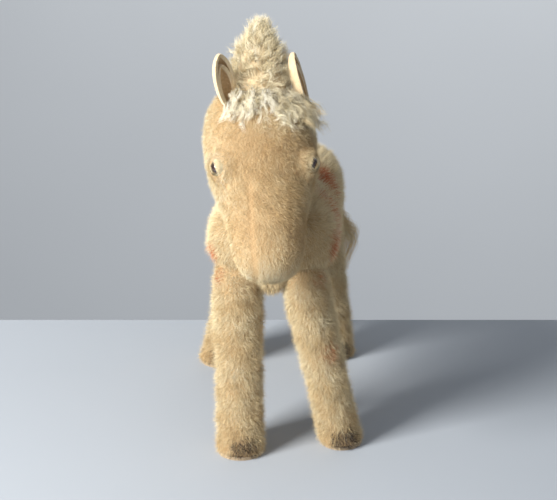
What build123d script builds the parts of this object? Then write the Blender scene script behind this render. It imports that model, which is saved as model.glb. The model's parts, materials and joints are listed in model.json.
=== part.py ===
"""A stuffed mohair foal, standing, about 200 mm tall to the tip of its forelock.

Every limb is its own closed bag: a plush skin of two or more sewn panels around a core of
stuffing, with a steel wire armature that lets the limbs be bent by hand. The foal faces -Y, with
+Z up. Its own left side is +X. Millimetres throughout.
"""

from build123d import *
import os
from math import cos, radians, sin, tan

# ---------------------------------------------------------------- driving dimensions
BELLY_HEIGHT = 72.0  # underside of the barrel above the floor
BELLY_GUSSET_RISE = 4.0  # edges of the belly gusset above the belly
CHEST_GUSSET_DEPTH = 3.5  # edges of the chest gusset behind the front of the chest
TORSO_LENGTH = 122.0
TORSO_WIDTH = 60.0
TORSO_DEPTH = 50.0  # belly to back
PLUSH = 4.0  # thickness of the plush, backing and pile together
FELT = 1.5  # thickness of the soles
EAR_FELT = 1.5
WIRE = 1.8  # diameter of the armature wire
SEAM_GAP = 0.2  # between two panels along a seam
STUFFING_GAP = 0.3  # between a skin and its stuffing
JOINT_GAP = 0.5  # between two bags that move against each other
RUNNING_GAP = 0.05  # radial, between a wire and what turns on it
SMALL_EDGE = 0.5  # least rounding of a rim
SMALL_TIP = 1.5  # least half axis at the end of a stuffing

SHOULDER_SETBACK = 13.0  # shoulder wire behind the front of the chest
HIP_SETBACK = 21.0  # hip wire ahead of the rump
WIRE_RISE = 9.0  # shoulder wire above the belly
HIP_DROP = 1.0  # hip wire below the shoulder wire
LEG_WEB = 2.0  # half the plush left between two legs
LEG_TOP_WIDTH = 26.0
SHOULDER_RADIUS = 15.0
HIP_RADIUS = 17.0
LEG_SWING = 12.0  # degrees each way that a leg's cut-out leaves room for
LEG_EDGE = 6.0  # rounding of a leg's round top
ANKLE_SHARE = 0.14  # of a leg's height, below which it has its foot's size
SOLE_INSET = 1.6  # a sole's edge inside the foot's

NECK_SETBACK = 29.0  # neck pivot behind the front of the chest
NECK_RISE = 11.0  # neck pivot above the middle of the barrel
NECK_LEAN = 15.0  # degrees forward
NECK_TILT = 5.0  # degrees to the foal's right
NECK_LENGTH = 42.0  # neck pivot to where the head turns
NECK_BASE_RADIUS = 20.0
NECK_TOP_RADIUS = 13.0
NECK_INTO_HEAD = 6.0
NECK_WIRE_INTO_HEAD = 18.0  # beyond where the head turns
NECK_WIRE_START = 1.0  # above the neck's lower lining
BARREL_TRIM = 2.0  # above the neck pivot, where the front of the barrel is cut off level
WITHERS_RADIUS = 22.5  # the round that the neck nods on
WITHERS_HALF_WIDTH = 17.0
WITHERS_EDGE = 5.0

HEAD_LENGTH = 95.0
HEAD_WIDTH = 51.0
HEAD_DEPTH = 45.0
HEAD_DROP = 52.0  # degrees that the face points below level
HEAD_TURN = 12.0  # degrees to the foal's left, as it stands
POLL_FROM_TURN = (-4.3, 6.5, 24.8)  # back end of the head from where it turns
CHEEK_CLEARANCE = 27.0  # radius about the neck pivot that the head stays out of
FACE_GUSSET_WIDTH = 20.0
JAW_SEAM = 4.0  # the seams between face and jaw behind the head's middle line
EYE_RADIUS = 3.1
EYE_SPREAD = 20.2  # each eye from the middle of the face
EYE_STATION = 44.0  # eyes from the back end of the head
EYE_FORWARD = 11.4  # eyes ahead of the head's middle line
SHANK_WIRE = 0.8
SHANK_RADIUS = 1.6

EAR_LENGTH = 25.0
EAR_WIDTH = 12.0
EAR_POCKET = 10.0  # radius of the dimple that an ear is sewn into
EAR_OPEN = 130.0  # degrees left open at the front of the outer leaf
EAR_PLACES = {"left": (11.0, 20.5, 7.0), "right": (13.0, -14.0, 13.0)}  # station, across, forward
EAR_TURNS = {"left": (-26.0, 3.0, 32.0), "right": (0.0, -8.0, 44.0)}  # degrees about X, Y and Z
EAR_STRAIGHT = 0.35  # share of an ear's length with straight sides
EAR_SHOULDER = (0.72, 0.74)  # share of its half width and length where its outline is fullest
EAR_LEAVES = {"outer": (1.0, 0.0), "inner": (0.8, 2.1)}  # share of the length, how far inside

CREST_RANGE = (25.0, 37.0)  # along the neck, from its pivot
CREST_DEPTH = 7.0
CREST_SPREAD = 34.0  # degrees each side of the back of the neck
KNOT_HALF_WIDTH = 11.0
KNOT_STATION = 15.0  # root of the forelock along the head
KNOT_LEAN = (1.5, 14.0)  # tip of the forelock to the left of its root and behind it
KNOT_TOP = 200.0  # tip of the forelock above the floor

TAIL_ROOT_RADIUS = 3.2
TAIL_ROOT_WIDTH = 9.0
TAIL_ROOT_EDGE = 0.8
TAIL_ROOT_SIDE = 1.5  # tail root to the left of the middle plane
TAIL_ROOT_RISE = 9.0  # tail root above the middle of the barrel
TAIL_END = 8.0  # tip of the tail above the floor
TAIL_SWEEP = 16.0  # middle of the tail's end to the left of its root
TAIL_REACH = 19.0  # middle of the tail's end behind its root
TAIL_HALF_WIDTH = 18.0
TAIL_HALF_DEPTH = 7.5

STITCHES = 7
STITCH_LENGTH = 5.0
STITCH_THREAD = 0.8
STITCH_PITCH = 4.0
STITCH_GAP = 0.12  # between the stitches and the belly
STITCH_ROUND = 0.9  # share of a stitch's radius that its ends are rounded by

# Shape of each loft: share of the length, then shares of the half width and half depth.
TORSO_SHAPE = [
    (0.0, 0.30, 0.30),
    (0.035, 0.68, 0.66),
    (0.12, 0.90, 0.90),
    (0.28, 0.98, 1.0),
    (0.52, 1.0, 1.0),
    (0.76, 1.0, 0.98),
    (0.90, 0.84, 0.84),
    (0.975, 0.55, 0.55),
    (1.0, 0.28, 0.28),
]
HEAD_SHAPE = [
    (0.0, 0.24, 0.24),
    (0.035, 0.56, 0.56),
    (0.12, 0.86, 0.86),
    (0.26, 0.99, 1.0),
    (0.42, 1.0, 1.0),
    (0.56, 0.93, 0.92),
    (0.68, 0.80, 0.78),
    (0.80, 0.72, 0.69),
    (0.90, 0.64, 0.61),
    (0.97, 0.44, 0.42),
    (1.0, 0.20, 0.20),
]

# Share of a leg's height, then share of the half widths between its foot and its top.
LEG_SHAPE = [
    (0.0, 0.90),
    (0.035, 1.0),
    (0.14, 1.02),
    (0.34, 0.97),
    (0.55, 0.95),
    (0.76, 0.97),
    (0.9, 0.99),
    (1.0, 1.0),
]

# Share of the forelock's height, then share of its half width.
KNOT_SHAPE = [(0.0, 1.0), (0.3, 0.97), (0.55, 0.78), (0.8, 0.46), (0.95, 0.24), (1.0, 0.12)]

# Share of the tail's drop, then shares of its sweep, its reach, its half width and half depth.
TAIL_SHAPE = [
    (0.02, 0.0, 0.05, 0.25, 0.40),
    (0.16, 0.20, 0.37, 0.50, 0.60),
    (0.38, 0.60, 0.63, 0.83, 0.87),
    (0.62, 0.90, 0.84, 1.0, 1.0),
    (0.84, 1.0, 0.97, 0.89, 0.93),
    (0.96, 1.0, 1.0, 0.56, 0.67),
    (1.0, 1.0, 1.0, 0.28, 0.40),
]

# ---------------------------------------------------------------- places
TORSO_MID = BELLY_HEIGHT + TORSO_DEPTH / 2
CHEST = -46.0
RUMP = CHEST + TORSO_LENGTH
SHOULDER_HEIGHT = BELLY_HEIGHT + WIRE_RISE
FAR = 400.0  # longer than anything here, for cutting tools

# Each leg: side, pivot, radius of its round top, its sole to the left of and behind the pivot, half
# width and half depth at the top and the foot.
SHOULDER = (CHEST + SHOULDER_SETBACK, SHOULDER_HEIGHT)
HIP = (RUMP - HIP_SETBACK, SHOULDER_HEIGHT - HIP_DROP)
LEGS = {
    "front_right": (-1, SHOULDER, SHOULDER_RADIUS, (2.2, -12.6), (12.8, 13.0), (12.2, 11.5)),
    "front_left": (1, SHOULDER, SHOULDER_RADIUS, (17.7, 1.3), (12.4, 13.0), (11.2, 11.5)),
    "rear_right": (-1, HIP, HIP_RADIUS, (-19.0, -4.0), (12.6, 15.0), (11.5, 11.5)),
    "rear_left": (1, HIP, HIP_RADIUS, (8.6, 9.0), (12.6, 15.0), (11.2, 11.5)),
}
LEG_MIDDLE = LEG_WEB + JOINT_GAP + LEG_TOP_WIDTH / 2  # a leg's round top from the middle plane

NECK_PIVOT = Vector(0, CHEST + NECK_SETBACK, TORSO_MID + NECK_RISE)
NECK_AXIS = Vector(
    -sin(radians(NECK_TILT)),
    -sin(radians(NECK_LEAN)) * cos(radians(NECK_TILT)),
    cos(radians(NECK_LEAN)) * cos(radians(NECK_TILT)),
)
TURN_POINT = NECK_PIVOT + NECK_AXIS * NECK_LENGTH
POLL = TURN_POINT + Vector(*POLL_FROM_TURN)
TAIL_PIVOT = Vector(
    TAIL_ROOT_SIDE, RUMP + TAIL_ROOT_RADIUS + JOINT_GAP, TORSO_MID + TAIL_ROOT_RISE
)


def head_plane():
    """The head's own frame: from its back end, z along the face to the muzzle, x to its left."""
    drop = radians(HEAD_DROP)
    turn = radians(HEAD_TURN)
    along = Vector(cos(drop) * sin(turn), -cos(drop) * cos(turn), -sin(drop))
    across = Vector(cos(turn), sin(turn), 0)
    return Plane(origin=POLL, x_dir=across, z_dir=along)


HEAD = head_plane()


def on_head(station, across, forward):
    """A point of the head from its station along the face, across it, and out of the face."""
    return HEAD.from_local_coords(Vector(across, forward, station))


# ---------------------------------------------------------------- shapes
def rings_to_solid(rings):
    """A closed solid through ellipses, each a plane with two half axes."""
    return loft([plane * Ellipse(wide, deep) for plane, wide, deep in rings])


def shrunk(shape, length, inset):
    """The stations of a shape in millimetres, drawn in by inset at both ends."""
    squeeze = (length - 2 * inset) / length
    return [inset + share * length * squeeze for share, _, _ in shape]


def shrunk_half(share, half, inset):
    """One half axis of a ring drawn in by inset, never thinner than a small tip."""
    return max(share * half - inset, SMALL_TIP)


def barrel(inset=0.0):
    """The torso's outer form along Y, drawn in by inset."""
    rings = []
    stations = shrunk(TORSO_SHAPE, TORSO_LENGTH, inset)
    for station, (_, wide, deep) in zip(stations, TORSO_SHAPE):
        plane = Plane(origin=(0, CHEST + station, TORSO_MID), x_dir=(1, 0, 0), z_dir=(0, 1, 0))
        half_wide = shrunk_half(wide, TORSO_WIDTH / 2, inset)
        half_deep = shrunk_half(deep, TORSO_DEPTH / 2, inset)
        rings.append((plane, half_wide, half_deep))
    return rings_to_solid(rings)


def across_x(radius, length, centre, edge=0.0):
    """A round bar along X, with its rims rounded by edge."""
    bar = Cylinder(radius, length)
    if edge:
        bar = fillet(bar.edges().filter_by(GeomType.CIRCLE), edge)
    return Location(centre) * (Rotation(0, 90, 0) * bar)


def leg_arch(side, pivot, radius, grow):
    """What a leg sweeps as it swings, from the web outwards: its round top and the wedge below."""
    y, z = pivot
    reach = TORSO_WIDTH
    start = LEG_WEB + JOINT_GAP - grow
    half = radius + grow
    centre = (side * (start + reach / 2), y, z)
    depth = WIRE_RISE * 3
    spread = half / cos(radians(LEG_SWING)) + depth * tan(radians(LEG_SWING))
    outline = Polyline(
        (y - half, z), (y + half, z), (y + spread, z - depth), (y - spread, z - depth), close=True
    )
    wedge = extrude(Plane.YZ * make_face(outline), side * (start + reach))
    keep = Location((side * (start + reach / 2), y, z)) * Box(reach, 6 * radius, 6 * radius)
    return across_x(half, reach, centre) + (wedge & keep)


def torso_form(inset=0.0):
    """The torso's bag: the barrel with a round for the neck and an arch for each leg."""
    form = barrel(inset)
    top = NECK_PIVOT.Z + BARREL_TRIM
    trim = Location((0, NECK_PIVOT.Y - FAR / 2, top + FAR / 2)) * Box(FAR, FAR, FAR)
    form -= trim
    edge = max(WITHERS_EDGE - inset, SMALL_EDGE)
    form += across_x(WITHERS_RADIUS - inset, 2 * (WITHERS_HALF_WIDTH - inset), NECK_PIVOT, edge)
    for side, pivot, radius, *_ in LEGS.values():
        form -= leg_arch(side, pivot, radius, JOINT_GAP + inset)
    return form


def leg_line(name, height):
    """The middle of a leg at a height above the floor."""
    side, (y, z), _, (left, behind), _, _ = LEGS[name]
    share = (z - height) / z
    return side * LEG_MIDDLE + left * share, y + behind * share


def leg_form(name, inset=0.0, foot=FELT):
    """A leg's bag: a shaft down to its sole, and a round top about its pivot wire."""
    side, (y, z), radius, _, top_half, foot_half = LEGS[name]
    rings = []
    for share, fill in LEG_SHAPE:
        height = foot + (z - foot) * share
        blend = max(0.0, (share - ANKLE_SHARE) / (1 - ANKLE_SHARE))
        wide = (foot_half[0] + (top_half[0] - foot_half[0]) * blend) * fill - inset
        deep = (foot_half[1] + (top_half[1] - foot_half[1]) * blend) * fill - inset
        x_mid, y_mid = leg_line(name, height)
        rings.append((Plane(origin=(x_mid, y_mid, height)), wide, deep))
    shaft = rings_to_solid(rings)
    edge = max(LEG_EDGE - inset, SMALL_EDGE)
    width = LEG_TOP_WIDTH - 2 * inset
    return shaft + across_x(radius - inset, width, (side * LEG_MIDDLE, y, z), edge)


def neck_form(inset=0.0, grow=0.0, start=0.0):
    """The neck's bag: a cone about its own axis, hollowed where it nods on the withers."""
    top = NECK_LENGTH + NECK_INTO_HEAD + grow - inset
    base = NECK_BASE_RADIUS + grow - inset
    tip = NECK_TOP_RADIUS + grow - inset
    cone = Plane(origin=NECK_PIVOT, z_dir=NECK_AXIS) * Pos(0, 0, (top + start) / 2)
    body = cone * Cone(base, tip, top - start)
    if grow:
        return body
    return body - across_x(WITHERS_RADIUS + JOINT_GAP + inset, FAR, NECK_PIVOT)


def head_form(inset=0.0):
    """The head's bag, with room for the neck to turn in it and for the ears."""
    rings = []
    stations = shrunk(HEAD_SHAPE, HEAD_LENGTH, inset)
    for station, (_, wide, deep) in zip(stations, HEAD_SHAPE):
        plane = Plane(origin=on_head(station, 0, 0), x_dir=HEAD.x_dir, z_dir=HEAD.z_dir)
        half_wide = shrunk_half(wide, HEAD_WIDTH / 2, inset)
        half_deep = shrunk_half(deep, HEAD_DEPTH / 2, inset)
        rings.append((plane, half_wide, half_deep))
    form = rings_to_solid(rings)
    form -= neck_form(grow=JOINT_GAP + inset)
    form -= Location(NECK_PIVOT) * Sphere(CHEEK_CLEARANCE + inset)
    for word in EAR_PLACES:
        form -= ear_room(word, inset)
    return form


def ear_room(word, grow=0.0):
    """The dimple that an ear is sewn into."""
    return Location(on_head(*EAR_PLACES[word])) * Sphere(EAR_POCKET + grow)


def eye_centre(side):
    """The middle of an eye's glass."""
    return on_head(EYE_STATION, side * EYE_SPREAD, EYE_FORWARD)


def one_solid(shape):
    """The largest solid of a shape, without slivers that a cut has left."""
    return max(shape.solids(), key=lambda piece: piece.volume)


def room(plane, x=(None, None), y=(None, None), z=(None, None)):
    """A box in a plane's own frame, drawn back by half the seam gap from each seam that bounds it."""
    spans = []
    for low, high in (x, y, z):
        start = -FAR if low is None else low + SEAM_GAP / 2
        end = FAR if high is None else high - SEAM_GAP / 2
        spans.append((start, end))
    middle = [(start + end) / 2 for start, end in spans]
    size = [end - start for start, end in spans]
    return plane * (Pos(*middle) * Box(*size))


def bag(form, rooms):
    """A bag's skin, cut into the panels that lie in the named rooms, and its stuffing."""
    skin = form(0.0) - form(PLUSH)
    core = one_solid(form(PLUSH + STUFFING_GAP))
    panels = {name: one_solid(skin & tool) for name, tool in rooms.items()}
    return panels, core


# ---------------------------------------------------------------- sub-assemblies
def torso_nodes():
    """The barrel: side panels, chest and belly gussets, stuffing, wires and closing stitches."""
    low = BELLY_HEIGHT + BELLY_GUSSET_RISE
    front = CHEST + CHEST_GUSSET_DEPTH
    panels, core = bag(
        torso_form,
        {
            "torso_panel_left": room(Plane.XY, x=(0, None), y=(front, None), z=(low, None)),
            "torso_panel_right": room(Plane.XY, x=(None, 0), y=(front, None), z=(low, None)),
            "chest_gusset": room(Plane.XY, y=(None, front), z=(low, None)),
            "belly_gusset": room(Plane.XY, y=(front, None), z=(None, low)),
        },
    )
    nodes = dict(panels)
    nodes["torso_stuffing"] = core
    for name, (y, z) in {"shoulder_wire": SHOULDER, "hip_wire": HIP}.items():
        wire = across_x(WIRE / 2, 2 * LEG_MIDDLE + 2 * WIRE, (0, y, z))
        nodes[name] = wire
        for node in ("torso_panel_left", "torso_panel_right", "belly_gusset", "torso_stuffing"):
            nodes[node] = nodes[node] - wire
    middle = CHEST + TORSO_LENGTH / 2
    first = -(STITCHES - 1) / 2
    stitches = []
    for i in range(STITCHES):
        y = middle + (first + i) * STITCH_PITCH
        at = (0, y, BELLY_HEIGHT - STITCH_THREAD / 2 - STITCH_GAP)
        edge = STITCH_THREAD / 2 * STITCH_ROUND
        stitches.append(across_x(STITCH_THREAD / 2, STITCH_LENGTH, at, edge))
    nodes["closing_stitches"] = Compound(children=[piece.solid() for piece in stitches])
    return nodes


def neck_nodes():
    """The neck: two panels, stuffing, and the wire that the head turns on."""
    across = Plane(origin=NECK_PIVOT, x_dir=(1, 0, 0), z_dir=NECK_AXIS)
    panels, core = bag(
        neck_form,
        {
            "neck_panel_left": room(across, x=(0, None)),
            "neck_panel_right": room(across, x=(None, 0)),
        },
    )
    nodes = dict(panels)
    start = WITHERS_RADIUS + JOINT_GAP + PLUSH + STUFFING_GAP + NECK_WIRE_START
    wire = neck_wire(start, WIRE / 2)
    nodes["neck_wire"] = wire
    nodes["neck_stuffing"] = core - wire
    for name in panels:
        nodes[name] = nodes[name] - wire
    nodes["mane_crest"] = crest()
    return nodes


def neck_wire(start, radius):
    """The wire along the neck, up into the head."""
    length = NECK_LENGTH + NECK_WIRE_INTO_HEAD - start
    along = Plane(origin=NECK_PIVOT, z_dir=NECK_AXIS) * Pos(0, 0, start + length / 2)
    return along * Cylinder(radius, length)


def head_nodes():
    """The head: face gusset, two cheek panels, stuffing, eyes and mane."""
    half = FACE_GUSSET_WIDTH / 2
    jaw = -JAW_SEAM
    panels, core = bag(
        head_form,
        {
            "face_gusset": room(HEAD, x=(-half, half), y=(jaw, None)),
            "cheek_panel_left": room(HEAD, x=(half, None)),
            "cheek_panel_right": room(HEAD, x=(None, -half)),
            "jaw_panel_left": room(HEAD, x=(0, half), y=(None, jaw)),
            "jaw_panel_right": room(HEAD, x=(-half, 0), y=(None, jaw)),
        },
    )
    nodes = dict(panels)
    hole = neck_wire(0.0, WIRE / 2 + RUNNING_GAP)
    nodes["head_stuffing"] = core - hole
    for name in panels:
        nodes[name] = nodes[name] - hole
    for side, word in ((1, "left"), (-1, "right")):
        centre = eye_centre(side)
        inward = (on_head(EYE_STATION, 0, 0) - centre).normalized()
        glass = Location(centre) * Sphere(EYE_RADIUS)
        ring_at = centre + inward * (EYE_RADIUS + SHANK_RADIUS - SHANK_WIRE / 4)
        ring = Plane(origin=ring_at, x_dir=inward, z_dir=HEAD.z_dir)
        shank = ring * Torus(SHANK_RADIUS, SHANK_WIRE / 2) - glass
        nodes[f"eye_{word}"] = glass
        nodes[f"eye_shank_{word}"] = shank
        for name in (f"cheek_panel_{word}", "head_stuffing"):
            nodes[name] = nodes[name] - glass - shank
    nodes["mane_topknot"] = topknot() - head_form()
    for word in EAR_PLACES:
        nodes["mane_topknot"] -= ear_room(word)
    for name in [key for key in nodes if not key.startswith("eye_shank")]:
        nodes[name] = one_solid(nodes[name])
    return nodes


def topknot():
    """The bushy forelock on the poll, coming to a point."""
    base = on_head(KNOT_STATION, 0, 0)
    tip = Vector(base.X + KNOT_LEAN[0], base.Y + KNOT_LEAN[1], KNOT_TOP)
    rings = []
    for share, fill in KNOT_SHAPE:
        at = base + (tip - base) * share
        rings.append((Plane(origin=at), KNOT_HALF_WIDTH * fill, KNOT_HALF_WIDTH * fill))
    return rings_to_solid(rings)


def crest():
    """The mane along the back of the neck, between the withers and the head."""
    frame = Plane(origin=NECK_PIVOT, x_dir=(0, 1, 0), z_dir=NECK_AXIS)
    low, high = CREST_RANGE
    middle = (low + high) / 2
    length = high - low
    taper = (NECK_BASE_RADIUS - NECK_TOP_RADIUS) / (NECK_LENGTH + NECK_INTO_HEAD)
    radii = [NECK_BASE_RADIUS - taper * station for station in CREST_RANGE]
    outer = Cone(radii[0] + CREST_DEPTH, radii[1] + CREST_DEPTH, length)
    ring = Pos(0, 0, middle) * (outer - Cone(radii[0], radii[1], length))
    reach = radii[0] + 2 * CREST_DEPTH
    edge = reach * tan(radians(CREST_SPREAD))
    wedge = extrude(make_face(Polyline((0, 0), (reach, -edge), (reach, edge), close=True)), high)
    return one_solid(frame * (ring & wedge))


def ear_outline(half, length):
    """An ear's outline seen from the front: straight sides that close in an arch."""
    straight = length * EAR_STRAIGHT
    wide, high = half * EAR_SHOULDER[0], length * EAR_SHOULDER[1]
    sides = [
        Line((half, 0), (-half, 0)),
        Line((-half, 0), (-half, straight)),
        ThreePointArc((-half, straight), (-wide, high), (0, length)),
        ThreePointArc((0, length), (wide, high), (half, straight)),
        Line((half, straight), (half, 0)),
    ]
    return Plane.XZ * make_face(Wire(sides))


def ear_nodes(word):
    """One felt ear: a cupped outer leaf and a narrower leaf nested in it."""
    base = Location(on_head(*EAR_PLACES[word]), EAR_TURNS[word])
    nodes = {}
    for leaf, (share, inside) in EAR_LEAVES.items():
        outer = EAR_WIDTH / 2 - inside
        length = EAR_LENGTH * share
        tube = Cylinder(outer, length) - Cylinder(outer - EAR_FELT, length)
        tube = Pos(0, 0, length / 2) * tube
        gape = outer * 2
        edge = gape * tan(radians(EAR_OPEN / 2))
        mouth = make_face(Polyline((0, 0), (-edge, -gape), (edge, -gape), close=True))
        tube -= extrude(mouth, length)
        cut = extrude(ear_outline(outer, length), EAR_WIDTH, both=True)
        nodes[f"ear_{word}_{leaf}"] = one_solid(base * (tube & cut))
    return nodes


def leg_nodes(name):
    """One leg: outer and inner panel, stuffing, armature wire with its eye, and felt sole."""
    side, (y, z), _, (left, behind), _, foot_half = LEGS[name]
    outward = Vector(side, 0, 0)
    line = Vector(left, behind, -z)
    normal = (outward - line * (outward.dot(line) / line.dot(line))).normalized()
    pivot = Vector(side * LEG_MIDDLE, y, z)
    seam = Plane(origin=pivot, z_dir=normal)
    panels, core = bag(
        lambda inset: leg_form(name, inset),
        {
            f"{name}_outer_panel": room(seam, z=(0, None)),
            f"{name}_inner_panel": room(seam, z=(None, 0)),
        },
    )
    eye_radius = WIRE / 2 + RUNNING_GAP
    eye = Location(pivot, (0, 90, 0)) * Torus(eye_radius + WIRE / 2, WIRE / 2)
    down = line.normalized()
    reach = line.length * (1 - (FELT + PLUSH) / z)
    start = eye_radius + WIRE / 2
    rod_middle = pivot + down * ((start + reach) / 2)
    rod = Plane(origin=rod_middle, z_dir=down) * Cylinder(WIRE / 2, reach - start)
    wire = one_solid(eye + rod)
    hole = across_x(eye_radius, 4 * LEG_MIDDLE, (0, y, z))
    nodes = {key: one_solid(panel - hole - wire) for key, panel in panels.items()}
    spare = wire_room(pivot, eye_radius, rod_middle, down, reach - start)
    nodes[f"{name}_stuffing"] = one_solid(core - spare)
    nodes[f"{name}_wire"] = wire - hole
    sole = Ellipse(foot_half[0] - SOLE_INSET, foot_half[1] - SOLE_INSET)
    nodes[f"{name}_sole"] = extrude(Location((*leg_line(name, 0), 0)) * sole, FELT)
    return nodes


def wire_room(pivot, eye_radius, rod_middle, down, length):
    """The room that a leg's wire takes in its stuffing: a flat round pocket and a hole."""
    eye_room = across_x(eye_radius + WIRE + RUNNING_GAP, WIRE + 2 * RUNNING_GAP, pivot)
    hole = across_x(eye_radius, 4 * LEG_MIDDLE, (0, pivot.Y, pivot.Z))
    rod_room = Plane(origin=rod_middle, z_dir=down) * Cylinder(WIRE / 2 + RUNNING_GAP, length)
    return eye_room + hole + rod_room


def tail_nodes():
    """The tail: a bound root and a bushy lock that hangs from it, swept to the foal's left."""
    root = across_x(TAIL_ROOT_RADIUS, TAIL_ROOT_WIDTH, TAIL_PIVOT, TAIL_ROOT_EDGE)
    drop = TAIL_PIVOT.Z - TAIL_END
    rings = []
    for down, sweep, reach, wide, deep in TAIL_SHAPE:
        at = TAIL_PIVOT + Vector(TAIL_SWEEP * sweep, TAIL_REACH * reach, -drop * down)
        rings.append((Plane(origin=at), TAIL_HALF_WIDTH * wide, TAIL_HALF_DEPTH * deep))
    hair = rings_to_solid(rings)
    return {"tail_root": root, "tail_hair": one_solid(hair - root)}


def all_nodes():
    """Every sub-part by name, in the frame that it is designed in."""
    nodes = {**torso_nodes(), **neck_nodes(), **head_nodes(), **tail_nodes()}
    for word in EAR_PLACES:
        nodes.update(ear_nodes(word))
    for name in LEGS:
        nodes.update(leg_nodes(name))
    return nodes


def centre_shift(nodes):
    """The move that brings the middle of the whole foal's box over the origin."""
    boxes = [shape.bounding_box() for shape in nodes.values()]
    low_x, high_x = min(b.min.X for b in boxes), max(b.max.X for b in boxes)
    low_y, high_y = min(b.min.Y for b in boxes), max(b.max.Y for b in boxes)
    return Vector(-(low_x + high_x) / 2, -(low_y + high_y) / 2, 0)


def main():
    """Writes one STEP file for each sub-part."""
    nodes = all_nodes()
    shift = centre_shift(nodes)
    print("centre shift", shift)
    os.makedirs("parts", exist_ok=True)
    for name, shape in nodes.items():
        export_step(Location(shift) * shape, f"parts/{name}.step")


if __name__ == "__main__":
    main()
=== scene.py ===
"""Looks of a standing mohair foal: plush skins with grown pile, felt ears, glass eyes and long locks."""

import json
import logging
from dataclasses import dataclass, field
from enum import Enum
from math import cos, pi, radians, sin
from typing import Callable, Sequence

import bmesh
import bpy
import numpy as np
from mathutils import Matrix, Vector
from mathutils.bvhtree import BVHTree

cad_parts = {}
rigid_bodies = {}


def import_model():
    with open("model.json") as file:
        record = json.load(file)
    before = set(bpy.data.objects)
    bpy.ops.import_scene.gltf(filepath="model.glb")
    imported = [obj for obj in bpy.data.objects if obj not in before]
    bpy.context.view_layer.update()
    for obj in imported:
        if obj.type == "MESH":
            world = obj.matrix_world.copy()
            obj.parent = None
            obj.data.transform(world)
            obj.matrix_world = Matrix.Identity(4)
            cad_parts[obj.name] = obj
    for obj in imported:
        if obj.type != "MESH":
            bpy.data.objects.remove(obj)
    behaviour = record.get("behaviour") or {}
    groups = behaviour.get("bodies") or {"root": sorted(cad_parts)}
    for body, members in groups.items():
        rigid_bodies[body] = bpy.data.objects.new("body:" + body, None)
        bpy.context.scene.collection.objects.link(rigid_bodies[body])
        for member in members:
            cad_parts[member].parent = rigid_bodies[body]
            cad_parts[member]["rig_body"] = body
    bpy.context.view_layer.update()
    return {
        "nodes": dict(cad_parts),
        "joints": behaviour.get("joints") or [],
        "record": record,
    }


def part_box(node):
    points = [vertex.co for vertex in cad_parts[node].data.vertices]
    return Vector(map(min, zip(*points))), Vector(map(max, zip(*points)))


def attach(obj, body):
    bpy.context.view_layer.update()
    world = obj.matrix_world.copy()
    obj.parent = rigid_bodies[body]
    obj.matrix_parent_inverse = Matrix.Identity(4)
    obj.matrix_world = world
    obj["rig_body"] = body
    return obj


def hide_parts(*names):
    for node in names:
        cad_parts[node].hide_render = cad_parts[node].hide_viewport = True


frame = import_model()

log = logging.getLogger("foal")

MM = 0.001
PILE_MAP = "Pile"  # across: which shade a strand is dyed, up: from its root to its tip
BAKE_MAP = "OFBake"  # the same map again, under a second name
Points = np.ndarray
Field = Callable[[Points], Points]
Colour = tuple[float, float, float]
Place = tuple[float, float, float]


class Dye(Enum):
    """Stretches of the pile's shade map, by where they lie across it."""

    MOHAIR = (0.0, 0.80)
    ORANGE = (0.84, 0.90)
    DARK = (0.94, 1.0)

    def across(self, share: Points) -> Points:
        """The map's u for a shade from 0, deepest, to 1, palest, of this dye."""
        low, high = self.value
        return low + 0.005 + np.clip(share, 0.0, 1.0) * (high - low - 0.01)


# ------------------------------------------------------------------ small tools
def box_of(*nodes: str) -> tuple[Points, Points]:
    """The lowest and highest corner round several CAD nodes."""
    boxes = [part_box(node) for node in nodes]
    low = np.min([np.array(b[0], float) for b in boxes], axis=0)
    high = np.max([np.array(b[1], float) for b in boxes], axis=0)
    return low, high


def joint_place(name: str) -> Points:
    """A joint's point in the row frame."""
    found = next(j for j in frame["joints"] if j["name"] == name)
    return np.array(found["pos_m"], float)


def joint_axis(name: str) -> Points:
    """A joint's axis in the row frame."""
    found = next(j for j in frame["joints"] if j["name"] == name)
    return np.array(found["axis"], float)


def sole_centre(leg: str) -> Points:
    """Where the middle of a leg's sole touches the floor."""
    mounts = frame["record"]["mounts"]
    found = next(m for m in mounts if m["name"] == f"{leg}_sole_face")
    return np.array(found["pos_m"], float)


def unit(vectors: Points) -> Points:
    """Vectors brought to length one."""
    size = np.linalg.norm(vectors, axis=-1, keepdims=True)
    return vectors / np.maximum(size, 1e-12)


def smooth_step(value: Points, low: float, high: float) -> Points:
    """0 below low, 1 above high, and smooth between."""
    t = np.clip((value - low) / (high - low), 0.0, 1.0)
    return t * t * (3.0 - 2.0 * t)


def band(value: Points, rise: tuple[float, float], fall: tuple[float, float]) -> Points:
    """1 between a smooth rise and a smooth fall, and 0 beyond them."""
    return smooth_step(value, *rise) * (1 - smooth_step(value, *fall))


def near(points: Points, centre: Sequence[float], radius: float) -> Points:
    """1 at a centre, falling smoothly to 0 at a radius."""
    return 1.0 - smooth_step(np.linalg.norm(points - np.array(centre), axis=1), 0.0, radius)


def clear_selection() -> None:
    """Leaves nothing selected and no object in edit mode."""
    if bpy.context.object and bpy.context.object.mode != "OBJECT":
        bpy.ops.object.mode_set(mode="OBJECT")
    bpy.ops.object.select_all(action="DESELECT")


def apply_modifier(obj: bpy.types.Object, kind: str, **settings) -> None:
    """Adds a modifier with the given settings and applies it."""
    clear_selection()
    obj.select_set(True)
    bpy.context.view_layer.objects.active = obj
    modifier = obj.modifiers.new(kind.title(), kind)
    for name, value in settings.items():
        setattr(modifier, name, value)
    bpy.ops.object.modifier_apply(modifier=modifier.name)


def points_of(obj: bpy.types.Object) -> Points:
    """The mesh's vertices."""
    found = np.empty(len(obj.data.vertices) * 3)
    obj.data.vertices.foreach_get("co", found)
    return found.reshape(-1, 3)


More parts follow.
